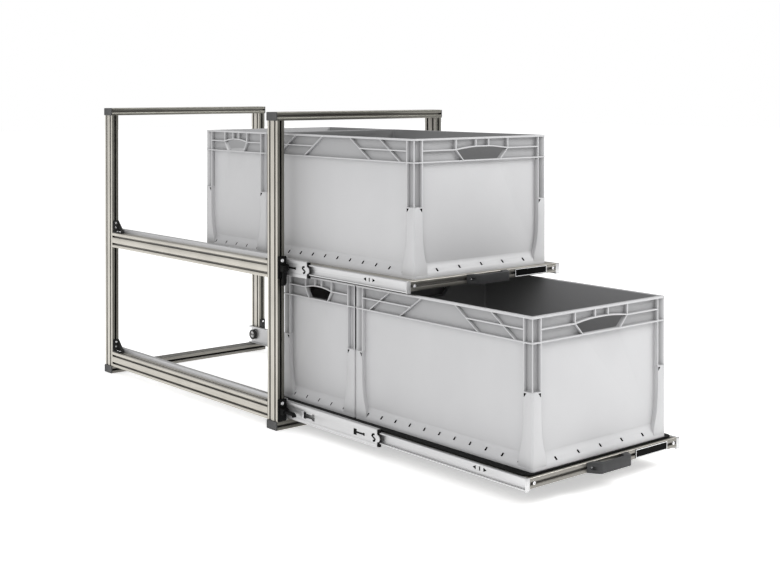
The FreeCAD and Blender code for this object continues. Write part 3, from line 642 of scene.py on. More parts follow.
class Palette:
    """Every finish of the rack, built once."""

    def __init__(self) -> None:
        """Build the finishes."""
        # Painted shade: the slots get darker copies of the profile's finish, darkest in upright profiles and lightest
        # in profiles that run along Y, after how light falls into them.
        slot_shade_levels = {Axis.X: 0.12, Axis.Y: 0.30, Axis.Z: 0.012}
        self.profile = self.per_axis("profile", (0.60, 0.575, 0.52), (0.43, 0.41, 0.365))
        self.slot = {
            axis: Brushed("slot", (d, d * 0.94, d * 0.84), grey(d * 0.6), 0.5, axis).material()
            for axis, d in slot_shade_levels.items()
        }
        # Painted shade: darker copies of the profile's finish for the top rails, the rear bottom rail and the tray
        # rails' front faces, standing in for the dark surroundings they mirror.
        far, painted_shade_dark = (0.25, 0.242, 0.22), (0.18, 0.172, 0.155)
        self.far_profile = Brushed("far_profile", far, painted_shade_dark, 0.34, Axis.X).material()
        # Painted shade for faces that look to the front, standing in for the dark side of the studio they mirror.
        self.painted_front_shade = self.per_axis("lee_profile", (0.2, 0.195, 0.172), (0.14, 0.136, 0.119))
        # Painted shade for the slots of the top rails.
        slot, slot_dark = (0.16, 0.152, 0.135), (0.11, 0.104, 0.095)
        self.far_slot = Brushed("far_slot", slot, slot_dark, 0.5, Axis.X).material()
        self.zinc = Brushed("zinc", grey(0.61, 0.613), grey(0.56, 0.564), 0.42, Axis.Y, 260.0).material()
        handle, handle_light = (0.026, 0.0265, 0.027), (0.038, 0.0385, 0.04)
        moulded = {
            "stop_face": (grey(0.62), grey(0.7), 0.5),
            "bright_screw": (grey(0.72, 0.73), grey(0.86, 0.87), 0.26, 2500.0, 0.05, 1.0),
            "black_plastic": (grey(0.003), grey(0.008), 0.5, 1500.0, 0.15, 0.0, 0.08),
            "handle_plastic": (handle, handle_light, 0.55, 1500.0, 0.15, 0.0, 0.3),
            "bracket_black": (grey(0.008), grey(0.016), 0.42, 900.0, 0.2, 0.0, 0.3),
            "cap_plastic": (grey(0.036), grey(0.052), 0.5),
            "stop_rubber": (grey(0.02, 0.021), grey(0.04, 0.041), 0.62, 700.0, 0.25),
            "board_laminate": (grey(0.002), grey(0.005), 0.6, 600.0, 0.2, 0.0, 0.1),
            "bare_plate": (grey(0.001), grey(0.002), 0.6, 2000.0, 0.05, 0.0, 0.05),
            "plate_edge": (grey(0.75), grey(0.82), 0.4, 2000.0, 0.05),
            # Black for the faces of cuts: painted shadow where holes and slots would show shade.
            "crate_shadow": (grey(0.001), grey(0.003), 0.9, 1500.0, 0.15, 0.0, 0.0),
            "dull_steel": (grey(0.45, 0.46), grey(0.6, 0.61), 0.35, 1200.0, 0.1, 1.0),
        }
        made = [Moulded(name, *values).material() for name, values in moulded.items()]
        self.stop_face, self.screw, self.black, self.handle, self.bracket, self.cap = made[:6]
        self.rubber, self.board, self.badge, self.trim, self.shadow, self.steel = made[6:]

    def per_axis(self, name: str, pale: Triple, deep: Triple) -> dict[Axis, Material]:
        """A profile's finish with its streaks along each axis."""
        return {axis: Brushed(name, pale, deep, 0.34, axis).material() for axis in Axis}


# -------- crates


@dataclass
class Crate:
    """Ribbed stacking crate, standing on z = 0 round the origin until it is placed."""

    length: float
    brace_scale: float
    grip_scale: float
    tick_wide: float
    grip_walls: Axis
    wide: float = 600.0
    tall: float = 440.0
    deep: float = 14.0
    wall: float = 3.5
    floor: float = 6.0
    rib: float = 4.0
    rim: float = 6.0
    upper_rib: float = 401.5
    lower_rib: float = 365.0
    shelf: float = 225.0
    rib_in: float = 36.0
    corner: float = 7.0
    corner_sunk: float = 0.4
    rib_sunk: float = 0.65
    brace_sunk: float = 0.9
    frame_sunk: float = 1.1
    brace_feet: tuple[float, float] = (180.0, 332.0)
    brace_tops: tuple[float, float] = (78.0, 232.0)
    grip_low: float = 82.0
    grip_high: float = 115.5
    grip_tall: float = 32.5
    grip_rise: float = 9.0
    grip_flat: float = 26.0
    column_low: float = 10.0
    skirt_low: float = 8.0
    skirt_high: float = 46.0
    skirt_steps: int = 9
    tick_low: float = 14.5
    tick_high: float = 24.5
    tick_lean: float = 4.0
    tick_pitch: float = 68.3

    @property
    def base(self) -> float:
        """Height of the hand holes' lower edge."""
        return self.lower_rib + self.rib / 2

    @property
    def crown(self) -> float:
        """Height of the hand holes' upper corners."""
        return self.base + self.grip_tall

    def reach(self, across: Axis) -> tuple[float, float]:
        """How far a wall stands from the middle, and half its own length."""
        halves = (self.wide / 2, self.length / 2)
        return halves if across is Axis.X else halves[::-1]

    def about(self, place: float) -> tuple[float, float]:
        """Both sides of a rib round its middle."""
        return place - self.rib / 2, place + self.rib / 2

    def rib_on(self, across: Axis, wall: int, sunk: float, along: Row, up: Row) -> Blank:
        """A rib on one of two facing walls, sunk a little below the crate's outline."""
        out = self.reach(across)[0]
        return Blank.slab(across, span(wall, out - self.deep - 1, out - sunk), along, up)

    def shell(self) -> Blank:
        """The thin main walls and the floor."""
        x = self.wide / 2 - self.deep
        y = self.length / 2 - self.deep
        shell = Blank.block((-x, -y, 0), (x, y, self.tall - 1))
        shell.edges(Axis.Z).chamfer(11, 4)
        return shell.facing(UP).inset(self.wall).extrude((0, 0, self.floor - self.tall + 1))

    def skirt(self) -> Blank:
        """The base that stands out from the walls and slopes back to them."""
        x, y = self.reach(Axis.X)
        skirt = Blank.block((-x, -y, 0), (x, y, self.skirt_low))
        rise = (self.skirt_high - self.skirt_low) / self.skirt_steps
        reach = self.deep - 0.3
        before = 0.0
        for index in range(self.skirt_steps):
            share = (index + 1) / self.skirt_steps
            eased = reach * share * share * (3 - 2 * share)
            skirt.facing(UP).extrude((0, 0, rise)).grow(((x - eased) / (x - before), (y - eased) / (y - before), 1))
            before = eased
        corner = lambda c, d: abs(c.x) > x - 20 and abs(c.y) > y - 20 and abs(d.z) > 0.5
        skirt.pick(corner, Kind.EDGE).chamfer(self.corner, 4)
        return skirt.facing(UP).remove()

    def ring(self, low: float, high: float) -> Blank:
        """A flat rib or rim all the way round."""
        x, y = self.reach(Axis.X)
        ring = Blank.block((-x, -y, low), (x, y, high))
        ring.pick(lambda c, n: abs(n.z) > ALIGNED).inset(self.deep + 0.8)
        ring.pick(lambda c, n: abs(n.z) > ALIGNED and abs(c.x) < 1 and abs(c.y) < 1).remove()
        x, y = x - self.deep, y - self.deep
        ring.pick(lambda c, d: abs(c.x) < x and abs(c.y) < y and abs(d.z) < 0.1, Kind.EDGE)
        bpy.ops.mesh.bridge_edge_loops()
        ring.edges(Axis.Z, lambda c: abs(c.x) > x and abs(c.y) > y).chamfer(self.corner, 4)
        return ring.outward()

    def plates(self) -> list[Blank]:
        """The upright ribs beside and in the corners."""
        made = []
        x, y = self.reach(Axis.X)
        up = (self.shelf, self.tall - self.rim)
        for sx, sy in CORNERS:
            made.append(self.rib_on(Axis.Y, sy, self.corner_sunk, self.about(sx * (x - self.rib_in)), up))
            made.append(self.rib_on(Axis.X, sx, self.corner_sunk, self.about(sy * (y - self.rib_in)), up))
            corner = Blank.slab(Axis.X, self.about(0), sorted((-9 * sy, 10.4 * sy)), up)
            corner.all().spin_round(-45 * sx * sy, Axis.Z)
            made.append(corner.slide((sx * (x - 10.5), sy * (y - 10.5), 0)))
        return made

    def braces(self, across: Axis) -> list[Blank]:
        """Sloping ribs and the broken upper rib of the two plain walls."""
        made = []
        half = self.reach(across)[1]
        low, high = self.lower_rib, self.tall - self.rim
        feet, tops = ([value * self.brace_scale for value in row] for row in (self.brace_feet, self.brace_tops))
        start = feet[0] + (tops[0] - feet[0]) * ((self.upper_rib - low) / (high - low))
        for wall, end in CORNERS:
            for foot, head in zip(feet, tops):
                brace = self.rib_on(across, wall, self.brace_sunk, self.about(end * foot), (low, high))
                made.append(brace.facing(UP).slide(across.beside.move(end * (head - foot))))
            along = span(end, start, half - self.rib_in)
            made.append(self.rib_on(across, wall, self.rib_sunk, along, self.about(self.upper_rib)))
        return made

    def grip_ribs(self, across: Axis) -> list[Blank]:
        """Frames, arches and ribs round the hand holes."""
        made = []
        half = self.reach(across)[1]
        low, high = self.grip_low * self.grip_scale, self.grip_high * self.grip_scale
        level = (self.crown, self.crown + self.rib)
        for wall in ENDS:
            arch = self.rib_on(across, wall, self.rib_sunk, (-high - 4, high + 4), level)
            made.append(self.arched(arch, across, high + 4, 7))
            for end in ENDS:
                foot = self.about(end * (low + 2.2))
                side = self.rib_on(across, wall, self.frame_sunk, foot, (self.base - 1, self.crown + 2))
                made.append(side.facing(UP).slide(across.beside.move(end * (high - low))))
                made.append(self.rib_on(across, wall, self.rib_sunk, span(end, high + 4, half - self.rib_in), level))
                for at, rise in ((118.0, 2), (29.0, self.grip_rise + 2)):
                    place = self.about(end * at * self.grip_scale)
                    up = (self.crown + rise, self.tall - self.rim)
                    made.append(self.rib_on(across, wall, self.frame_sunk, place, up))
        return made

    def arched(self, blank: Blank, across: Axis, half: float, middle: int) -> Blank:
        """Lift a blank into an arch over the hand hole.

        Args:
            blank: What is lifted, straight so far.
            across: The direction in which its wall looks.
            half: Half its length.
            middle: How many slices it gets on each side of the middle one.

        Returns:
            The blank.
        """
        along = across.beside
        places = [(index - middle) * half / (middle + 0.5) for index in range(2 * middle + 1)]
        blank.slice_at(places, along)
        for place in places:
            above = lambda c, n: abs(c[along.value] - place) < 0.5 and c.z > self.crown - 1
            blank.pick(above, Kind.VERT).slide((0, 0, self.rise_at(place)))
        return blank

    def rise_at(self, place: float) -> float:
        """How far the arch over a hand hole has risen at a place along the wall."""
        flat = self.grip_flat * self.grip_scale
        share = max(0.0, (abs(place) - flat) / (self.grip_high * self.grip_scale + 4 - flat))
        return self.grip_rise * (1 - share**1.5)

    def grip_cutter(self, across: Axis) -> Blank:
        """What cuts the hand holes through both walls."""
        out = self.reach(across)[0] + PAST
        half = self.grip_low * self.grip_scale
        cutter = Blank.slab(across, (-out, out), (-half, half), (self.base, self.crown))
        cutter.facing(UP).grow(across.beside.stretch(self.grip_high / self.grip_low), (0, 0, self.crown))
        return self.arched(cutter, across, half, 6)

    def columns(self) -> list[Blank]:
        """The solid corner columns with their flared feet."""
        x, y = self.reach(Axis.X)
        column = Blank.block((x - self.rib_in, y - self.rib_in, self.column_low), (x, y, self.shelf))
        flare = {34.0: 20.0, 46.0: 16.0, 58.0: 12.2, 72.0: 8.6, 92.0: 4.8, 120.0: 2.0, 160.0: 0.4}
        column.slice_at(flare, Axis.Z)
        for height, reach in (*flare.items(), (self.column_low, 21.0)):
            for axis, edge in ((Axis.X, x), (Axis.Y, y)):
                inner = lambda c, n: abs(c.z - height) < 1 and c[axis.value] < edge - self.rib_in + 1
                column.pick(inner, Kind.VERT).slide(axis.move(-reach))
        column.edges(Axis.Z, lambda c: c.x > x - 1 and c.y > y - 1).chamfer(self.corner, 4)
        made = [column, column.copy(flip=Axis.X)]
        return made + [blank.copy(flip=Axis.Y) for blank in made]

    def ticks(self) -> Blank:
        """What cuts the slanted slots into the skirt; their faces take the black painted shadow."""
        cuts = []
        half = self.tick_wide / 2
        rows = ((Axis.Y, 5, 98.0), (Axis.X, round((self.length - 117) / self.tick_pitch) + 1, self.tick_pitch))
        for sign in ENDS:
            for across, count, pitch in rows:
                out, half_wall = self.reach(across)
                for index in range(count):
                    at = (index - (count - 1) / 2) * pitch
                    lift = self.bow(at, 2 * half_wall)
                    up = (self.tick_low + lift, self.tick_high + lift)
                    tick = Blank.slab(across, span(sign, out - 16, out + 4), (at - half, at + half), up)
                    cuts.append(tick.facing(UP).slide(across.beside.move(sign * self.tick_lean)))
        return joined(cuts)

    def bow(self, at: float, wall: float) -> float:
        """How much higher the slots lie towards the middle of a wall."""
        return wall * wall / 64000 * (1 - (2 * at / wall) ** 2)

    def notches(self) -> Blank:
        """What cuts a triangular notch into each face of the columns, just under their tops; the notches' faces take
        the black painted shadow.
        """
        cuts = []
        up = (self.shelf - 15, self.shelf - 3.5)
        for sx, sy in CORNERS:
            for across, wall, end in ((Axis.Y, sy, sx), (Axis.X, sx, sy)):
                out, half = self.reach(across)
                start = half - self.rib_in + 1.5
                notch = Blank.slab(across, span(wall, out - 5, out + 3), span(end, start, start + 10.5), up)
                tip = across.beside.move(end * start)
                cuts.append(notch.facing((0, 0, -1)).grow(across.beside.stretch(0.15), tip))
        return joined(cuts)

    def build(self, plastic: Material, shadow: Material, name: str) -> Blank:
        """Build the crate.

        Args:
            plastic: The material of its walls and ribs.
            shadow: The black material of its cuts, painted shadow.
            name: Its name in the log.

        Returns:
            The crate, round the origin.
        """
        shell = self.shell().dress(plastic).cut(self.grip_cutter(self.grip_walls).dress(plastic))
        skirt = self.skirt().dress(plastic).cut(self.ticks().dress(shadow))
        columns = joined(self.columns()).dress(plastic).cut(self.notches().dress(shadow))
        rest = [
            self.ring(self.tall - self.rim, self.tall),
            self.ring(*self.about(self.lower_rib)),
            *self.plates(),
            *self.braces(self.grip_walls.beside),
            *self.grip_ribs(self.grip_walls),
        ]
        for rib in rest:
            rib.dress(plastic)
        LOG.info("%s has %d ribs and frames", name, len(rest))
        return joined([shell, skirt, columns, *rest])


@dataclass
class CrateSet:
    """The long and the short crate of both trays, with a gap between the two."""

    palette: Palette
    gap: float = 5.0

    def build(self) -> None:
        """Model each crate once and stand a copy on each tray."""
        kinds = {
            "long": Crate(800.0, 1.0, 1.0, 7.4, Axis.Y),
            "short": Crate(400.0, 0.75, 0.62, 4.2, Axis.X),
        }
        shadow = self.palette.shadow
        for kind, crate in kinds.items():
            pattern = crate.build(self.palette.cap, shadow, f"crate_{kind}")
            pattern.soften(0.9, 2, 34).smooth(40)
            for tier in TIERS:
                node = f"crate_{kind}_{tier}"
                low, high = box_of(node)
                centre, half = (low + high) / 2, (high - low) / 2
                back = self.gap if kind == "short" else 0.0
                piece = pattern.copy((centre.x, centre.y + back, low.z))
                name = f"crate_plastic_{kind}_{tier}"
                plastic = CratePlastic(name, tuple(centre), tuple(half), crate.deep + crate.wall)
                own = piece.obj.data.materials
                for index, material in enumerate(own):
                    own[index] = shadow if material is shadow else plastic.material()
                piece.named(f"ribbed_{node}", f"{tier}_tray", "crate_grey", node)
            pattern.discard()


# -------- profiles


@dataclass
class SlottedProfile:
    """Slotted aluminium profile, modelled once a metre long and cut to each node's box."""

    across: float
    high: float
    pitch: float = 30.0
    mouth: float = 8.0
    lip: float = 2.0
    inner: float = 16.0
    floor: float = 8.0
    deep: float = 9.0
    corner: float = 1.5
    length: float = 1000.0

    def centres(self, face: float) -> list[float]:
        """Middles of the slots along a face."""
        count = round(face / self.pitch)
        return [(index - (count - 1) / 2) * self.pitch for index in range(count)]

    def build(self) -> Blank:
        """Model the profile along Z."""
        x, y = self.across / 2, self.high / 2
        half = self.mouth / 2
        bar = Blank.block((-x, -y, 0), (x, y, self.length))
        bar.pick(lambda c, n: abs(n.z) > ALIGNED).remove()
        for axis, face in ((Axis.X, self.across), (Axis.Y, self.high)):
            bar.slice_at([c + e for c in self.centres(face) for e in (-half, half)], axis)
        for axis, face, out in ((Axis.X, self.across, y), (Axis.Y, self.high, x)):
            for sign in ENDS:
                for centre in self.centres(face):
                    self.slot(bar, axis, sign, centre, out)
        bar.pick(lambda c, n: abs(n.z) > ALIGNED).remove()
        for end in (0.0, self.length):
            bar.pick(lambda c, d: abs(c.z - end) < 0.1 and abs(d.z) < 0.1, Kind.EDGE)
            bpy.ops.mesh.edge_face_add()
        sides = lambda c: (abs(abs(c.x) - x) < 0.1, abs(abs(c.y) - y) < 0.1)
        bar.edges(Axis.Z, lambda c: all(sides(c))).chamfer(self.corner, 3)
        bar.edges(Axis.Z, lambda c: any(sides(c)) and self.at_mouth(c)).chamfer(0.5, 2)
        return bar.outward()

    def at_mouth(self, c: Vector) -> bool:
        """Whether a lengthwise edge lies at a slot's mouth."""
        faces = ((c.x, self.across), (c.y, self.high))
        return any(abs(abs(at - m) - self.mouth / 2) < 0.1 for at, face in faces for m in self.centres(face))

    def slot(self, bar: Blank, along: Axis, sign: int, centre: float, reach: float) -> None:
        """Sink one slot into the strip between its two cuts.

        Args:
            bar: The profile.
            along: The direction across the slots of its face.
            sign: -1 or 1 for the face.
            centre: The slot's place along the face.
            reach: How far the face is from the middle.
        """
        out = Vector(along.beside.move(float(sign)))
        middle = out * reach
        middle[along.value] = centre
        bar.facing(out, lambda c: abs(c[along.value] - centre) < 1).extrude(-out * self.lip)
        bar.extrude((0, 0, 0)).grow(along.stretch(self.inner / self.mouth), middle)
        bar.extrude(-out * (self.deep - self.lip)).grow(along.stretch(self.floor / self.inner), middle)

    def in_slot(self, c: Vector, n: Vector) -> bool:
        """Whether a face lies below the lips of a slot."""
        deep = min(self.across / 2 - abs(c.x), self.high / 2 - abs(c.y))
        return deep > self.lip - 0.6 and abs(n.z) < 0.5


@dataclass
class Frame:
    """Posts, rails, beams and tray rails of slotted profile."""

    palette: Palette

    def build(self) -> None:
        """Cut every profile from its pattern."""
        patterns = {wide: self.ready(SlottedProfile(30.0, wide)) for wide in (60.0, 30.0)}
        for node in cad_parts:
            if not node.startswith(("post_", "side_beam", "top_rail", "bottom_rail", "tray_rail")):
                continue
            low, high = box_of(node)
            size = high - low
            axis = max(Axis, key=lambda a: size[a.value])
            pattern = patterns[round(sorted(size)[1] / 30) * 30.0]
            body = f"{node.split('_')[2]}_tray" if node.startswith("tray_rail") else "rack"
            piece = self.laid(pattern, axis, low, size[axis.value]).dress(*self.finishes(node, axis))
            # Faces that look to the front take painted shade, standing in for the dark side of the studio they
            # mirror.
            piece.paint(lambda c, n: n.y < -ALIGNED and c.y < low.y + 0.5, 2)
            piece.named(f"cut_{node}", body, "profile", node)
        for pattern in patterns.values():
            pattern.discard()

    def finishes(self, node: str, axis: Axis) -> tuple[Material, ...]:
        """Finishes of a profile's faces, its slots and its front face. The slots and the front face carry painted
        shade, and so does every face of the top rails and the rear bottom rail.
        """
        palette = self.palette
        if node.startswith("top_rail"):
            return palette.far_profile, palette.far_slot, palette.painted_front_shade[axis]
        if node == "bottom_rail_rear":
            return palette.far_profile, palette.slot[Axis.Z], palette.far_profile
        if node.startswith("tray_rail"):
            return palette.profile[axis], palette.slot[Axis.Y], palette.far_profile
        return palette.profile[axis], palette.slot[axis], palette.painted_front_shade[axis]

    def ready(self, profile: SlottedProfile) -> Blank:
        """A finished pattern with its slots marked for the painted slot shade."""
        bar = profile.build().dress(self.palette.cap, self.palette.rubber)
        return bar.paint(profile.in_slot, 1).smooth(30)

    def laid(self, pattern: Blank, axis: Axis, low: Vector, length: float) -> Blank:
        """Copy a pattern, give it its length and lay it in its box.

        Args:
            pattern: The profile along Z.
            axis: The direction it is to run in.
            low: Lowest corner of its box.
            length: How long it is to be.

        Returns:
            The laid piece.
        """
        piece = pattern.copy()
        piece.all().grow(Axis.Z.stretch(length / 1000))
        if axis is not Axis.Z:
            piece.spin_round(90, axis.beside)
        return piece.land(low)


# -------- screws


@dataclass(frozen=True)
class Seat:
    """Where a screw head sits: its middle, the way it looks, its radius and height."""

    centre: Vector
    out: Vector
    radius: float
    high: float


@dataclass
class Screws:
    """Round screw heads with a socket, one piece per node."""

    palette: Palette
    proud: float = 6.0
    widest: float = 6.4

    def seats(self, node: str) -> list[Seat]:
        """Read the seats from the hexagon heads of a node.

        Args:
            node: The node of screw heads.

        Returns:
            One seat per head.
        """
        Blank.of_node(node).activate()
        bpy.ops.mesh.separate(type="LOOSE")
        found = []
        for head in [Blank(obj) for obj in bpy.context.selected_objects]:
            rows = list(zip(*(v.co / MM for v in head.obj.data.vertices)))
            found.append(self.seat_of(node, Vector(map(min, rows)), Vector(map(max, rows))))
            head.discard()
        return found

    def seat_of(self, node: str, low: Vector, high: Vector) -> Seat:
        """Turn a head's box into a seat that looks away from what it holds."""
        size = high - low
        centre = (low + high) / 2
        thin = min(range(3), key=lambda i: size[i])
        on_tray = node.startswith("tray_screws")
        out = Vector(FRONT)
        if thin == Axis.Z.value:
            out = Vector((0, 0, -1.0 if node == "frame_screws_bottom" else 1.0))
        elif node == "bracket_screws" and centre.y <= 500:
            out = -out
        elif on_tray:
            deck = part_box(node.replace("tray_screws", "base_board"))
            out *= 1.0 if centre.y < (deck[0].y + deck[1].y) / 2 / MM else -1.0
        radius = max(size) / 2
        if on_tray:
            radius = min(self.widest, radius * 1.25)
            if abs(centre.x) > 300:
                centre += out * self.proud
        return Seat(centre, out, radius, size[thin])

    def head(self, seat: Seat) -> Blank:
        """Model one round head with its socket."""
        axis = Axis.Z if abs(seat.out.z) > 0.5 else Axis.Y
        head = Blank.disc(seat.centre, seat.radius * 0.97, seat.high, axis, 24)
        head.facing(seat.out).inset(seat.radius * 0.3)
        head.facing(seat.out, lambda c: (c - seat.centre).cross(seat.out).length < 0.5)
        head.inset(seat.radius * 0.22).extrude(-seat.out * seat.high * 0.6)
        rim = seat.centre + seat.out * seat.high / 2
        edge = lambda c, d: abs((c - rim).dot(seat.out)) < 0.05 and (c - rim).length > seat.radius * 0.9
        return head.pick(edge, Kind.EDGE).chamfer(min(1.0, seat.high * 0.3), 3)

    def build(self) -> None:
        """Replace every node of screws."""
        for node in sorted(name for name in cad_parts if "screws" in name):
            heads = joined([self.head(seat) for seat in self.seats(node)])
            body = f"{node.split('_')[-1]}_tray" if node.startswith("tray_screws") else "rack"
            metal = self.palette.steel if node.startswith("frame") else self.palette.screw
            heads.dress(metal).smooth(40).named(f"round_{node}", body, "screw_steel", node)


# -------- trays


@dataclass
class Handle:
    """Bow handle on the front rail of a tray."""

    palette: Palette
    base: float = 92.0
    front: float = 69.0
    out: float = 36.0
    bar: float = 13.0
    leg: float = 26.0
    high: float = 30.0
    slope: float = 8.3
    screw_in: float = 80.0
    pocket: float = 5.4
    seat: float = 6.0

    def build(self, tier: str) -> None:
        """Model the handle of a tier."""
        node = f"handle_{tier}"
        low, high = box_of(node)
        y, z = high.y, (low.z + high.z) / 2
        half = self.high / 2
        bow = Blank.block((-self.base, y - self.out, z - half), (self.base, y, z + half))
        bow.facing(FRONT).grow(Axis.X.stretch(self.front / self.base), (0, y - self.out, z))
        bow.edges(Axis.Z, lambda c: c.y < y - self.out + 1).chamfer(8, 5)
        inner = self.base - self.leg
        gap = Blank.block((-inner, y - self.out + self.bar, z - 2 * half), (inner, y + PAST, z + 2 * half))
        gap.facing(FRONT).grow(Axis.X.stretch((self.front - self.leg + self.slope) / inner), (0, y, z))
        gap.edges(Axis.Z, lambda c: c.y < y - 1).chamfer(5, 3)
        bow.cut(gap)
        for side in ENDS:
            bow.cut(Blank.disc((side * self.screw_in, y - self.seat - 25, z), self.pocket, 50, Axis.Y, 24))
        bow.soften(1.4, 3, 40).smooth(40)
        bow.dress(self.palette.handle).named(f"bow_{node}", f"{tier}_tray", "black_plastic", node)


@dataclass
class Badge:
    """Bare plate to the right of a handle."""

    palette: Palette
    line: tuple[float, float] = (0.4, 3.0)

    def build(self, tier: str) -> None:
        """Model the plate of a tier, with a low rim round its field."""
        node = f"badge_plate_{tier}"
        low, high = box_of(node)
        plate = Blank.block(low, high)
        plate.edges(Axis.Y).chamfer(3, 4)
        middle = lambda c: abs(c.x - (low.x + high.x) / 2) < 1 and abs(c.z - (low.z + high.z) / 2) < 1
        plate.facing(FRONT).inset(0.5)
        plate.facing(FRONT, middle).inset(2.2)
        plate.facing(FRONT, middle).extrude((0, 0.3, 0))
        plate.dress(self.palette.badge, self.palette.trim)
        line = lambda c, n: abs(n.y) > ALIGNED and c.y < low.y + 0.2 and self.in_line(c, low, high)
        plate.paint(line, 1).soften(0.15, 1, 50).smooth(40)
        plate.named(f"bare_{node}", f"{tier}_tray", "black_plastic", node)

    def in_line(self, c: Vector, low: Vector, high: Vector) -> bool:
        """Whether a face belongs to the pale line round the field."""
        edge = min(c.x - low.x, high.x - c.x, c.z - low.z, high.z - c.z)
        return self.line[0] < edge < self.line[1]


@dataclass
class Boards:
    """Base boards: the upper one keeps its solid, the lower one gets rounded corners."""

    palette: Palette
    corner: float = 22.0
    back: float = 14.0

    def build(self) -> None:
        """Dress the upper board and model the lower one."""
        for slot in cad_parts["base_board_upper"].material_slots:
            slot.material = self.palette.board
        LOG.info("base_board_upper keeps its solid")
        low, high = box_of("base_board_lower")
        low.y += self.back
        board = Blank.block(low, high)
        board.edges(Axis.Z).chamfer(self.corner, 6)
        board.soften(0.8, 2, 50).smooth(40)
        board.dress(self.palette.board).named("rounded_board_lower", "lower_tray", "board", "base_board_lower")


# -------- rack fittings


@dataclass
class Fittings:
    """End caps, rear stops, outer slide members, brackets and latches."""

    palette: Palette
    cap_wide: float = 60.0
    cap_thick: float = 4.0
    stop_radius: float = 21.0
    stop_thick: float = 14.0
    stop_ring: float = 6.5
    key_half: float = 4.0

    def build(self) -> None:
        """Model every fitting."""
        self.caps()
        self.stops()
        self.recast()

    def caps(self) -> None:
        """Moulded caps with a rounded face and a shallow field."""
        for node in ("end_caps_top", "end_caps_bottom"):
            low, high = box_of(node)
            made = []
            for side in ENDS:
                for y in (low.y, high.y - self.cap_wide):
                    across = span(side, high.x - self.cap_thick, high.x)
                    cap = Blank.slab(Axis.X, across, (y, y + self.cap_wide), (low.z, high.z))
                    cap.edges(Axis.X).chamfer(3, 3)
                    cap.facing((side, 0, 0)).inset(2.2)
                    middle = Vector((side * high.x, y + self.cap_wide / 2, (low.z + high.z) / 2))
                    cap.facing((side, 0, 0), lambda c: (c - middle).length < 1).extrude((-side * 0.7, 0, 0))
                    cap.soften(0.3, 2, 40).dress(self.palette.cap, self.palette.rubber)
                    made.append(cap.paint(lambda c, n: abs(n.y) > ALIGNED, 1))
            joined(made).smooth(40).named(f"moulded_{node}", "rack", "cap", node)

    def stops(self) -> None:
        """Rubber stops: a thick ring round a paler face with two square keys."""
        made = []
        low, high = box_of("rear_stops")
        radius, thick, half = self.stop_radius, self.stop_thick, self.key_half
        y = high.y - radius
        for side in ENDS:
            for z in (low.z + radius, high.z - radius):
                face = Vector((side * (high.x - thick), y, z))
                stop = Blank.disc((side * (high.x - thick / 2), y, z), radius, thick, Axis.X, 40)
                stop.facing((-side, 0, 0)).inset(self.stop_ring)
                stop.facing((-side, 0, 0), lambda c: (c - face).length < 1).extrude((side * 2.5, 0, 0))
                stop.soften(0.9, 2, 40).dress(self.palette.rubber, self.palette.stop_face)
                stop.paint(lambda c, n: (c - face).length < 4 and abs(n.x) > ALIGNED, 1)
                for at in (y - self.stop_ring, y + self.stop_ring):
                    across = sorted((face.x + side * 2.6, face.x + side * 1.4))
                    key = Blank.slab(Axis.X, across, (at - half, at + half), (z - half, z + half))
                    made.append(key.soften(0.5, 2, 40).dress(self.palette.rubber))
                made.append(stop)
        joined(made).smooth(40).named("ringed_rear_stops", "rack", "stop_rubber", "rear_stops")

    def recast(self) -> None:
        """Merged copies of the sheet and moulded solids with rounded edges."""
        palette = self.palette
        table = {
            "slide_outer": (0.7, palette.zinc, "slide_steel"),
            "latch_plates": (0.9, palette.black, "black_plastic"),
            "latch_lever": (1.3, palette.black, "black_plastic"),
            "corner_brackets": (0.7, palette.bracket, "bracket_black"),
        }
        for node in sorted(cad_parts):
            words = node.split("_")
            start = "_".join(words[:2])
            if start not in table:
                continue
            edge, finish, slot = table[start]
            body = f"{words[2]}_lever_{words[3]}" if start == "latch_lever" else "rack"
            piece = Blank.of_node(node).soften(edge, 2, 30).smooth(35)
            piece.dress(finish).named(f"edged_{node}", body, slot, node)


# -------- slides


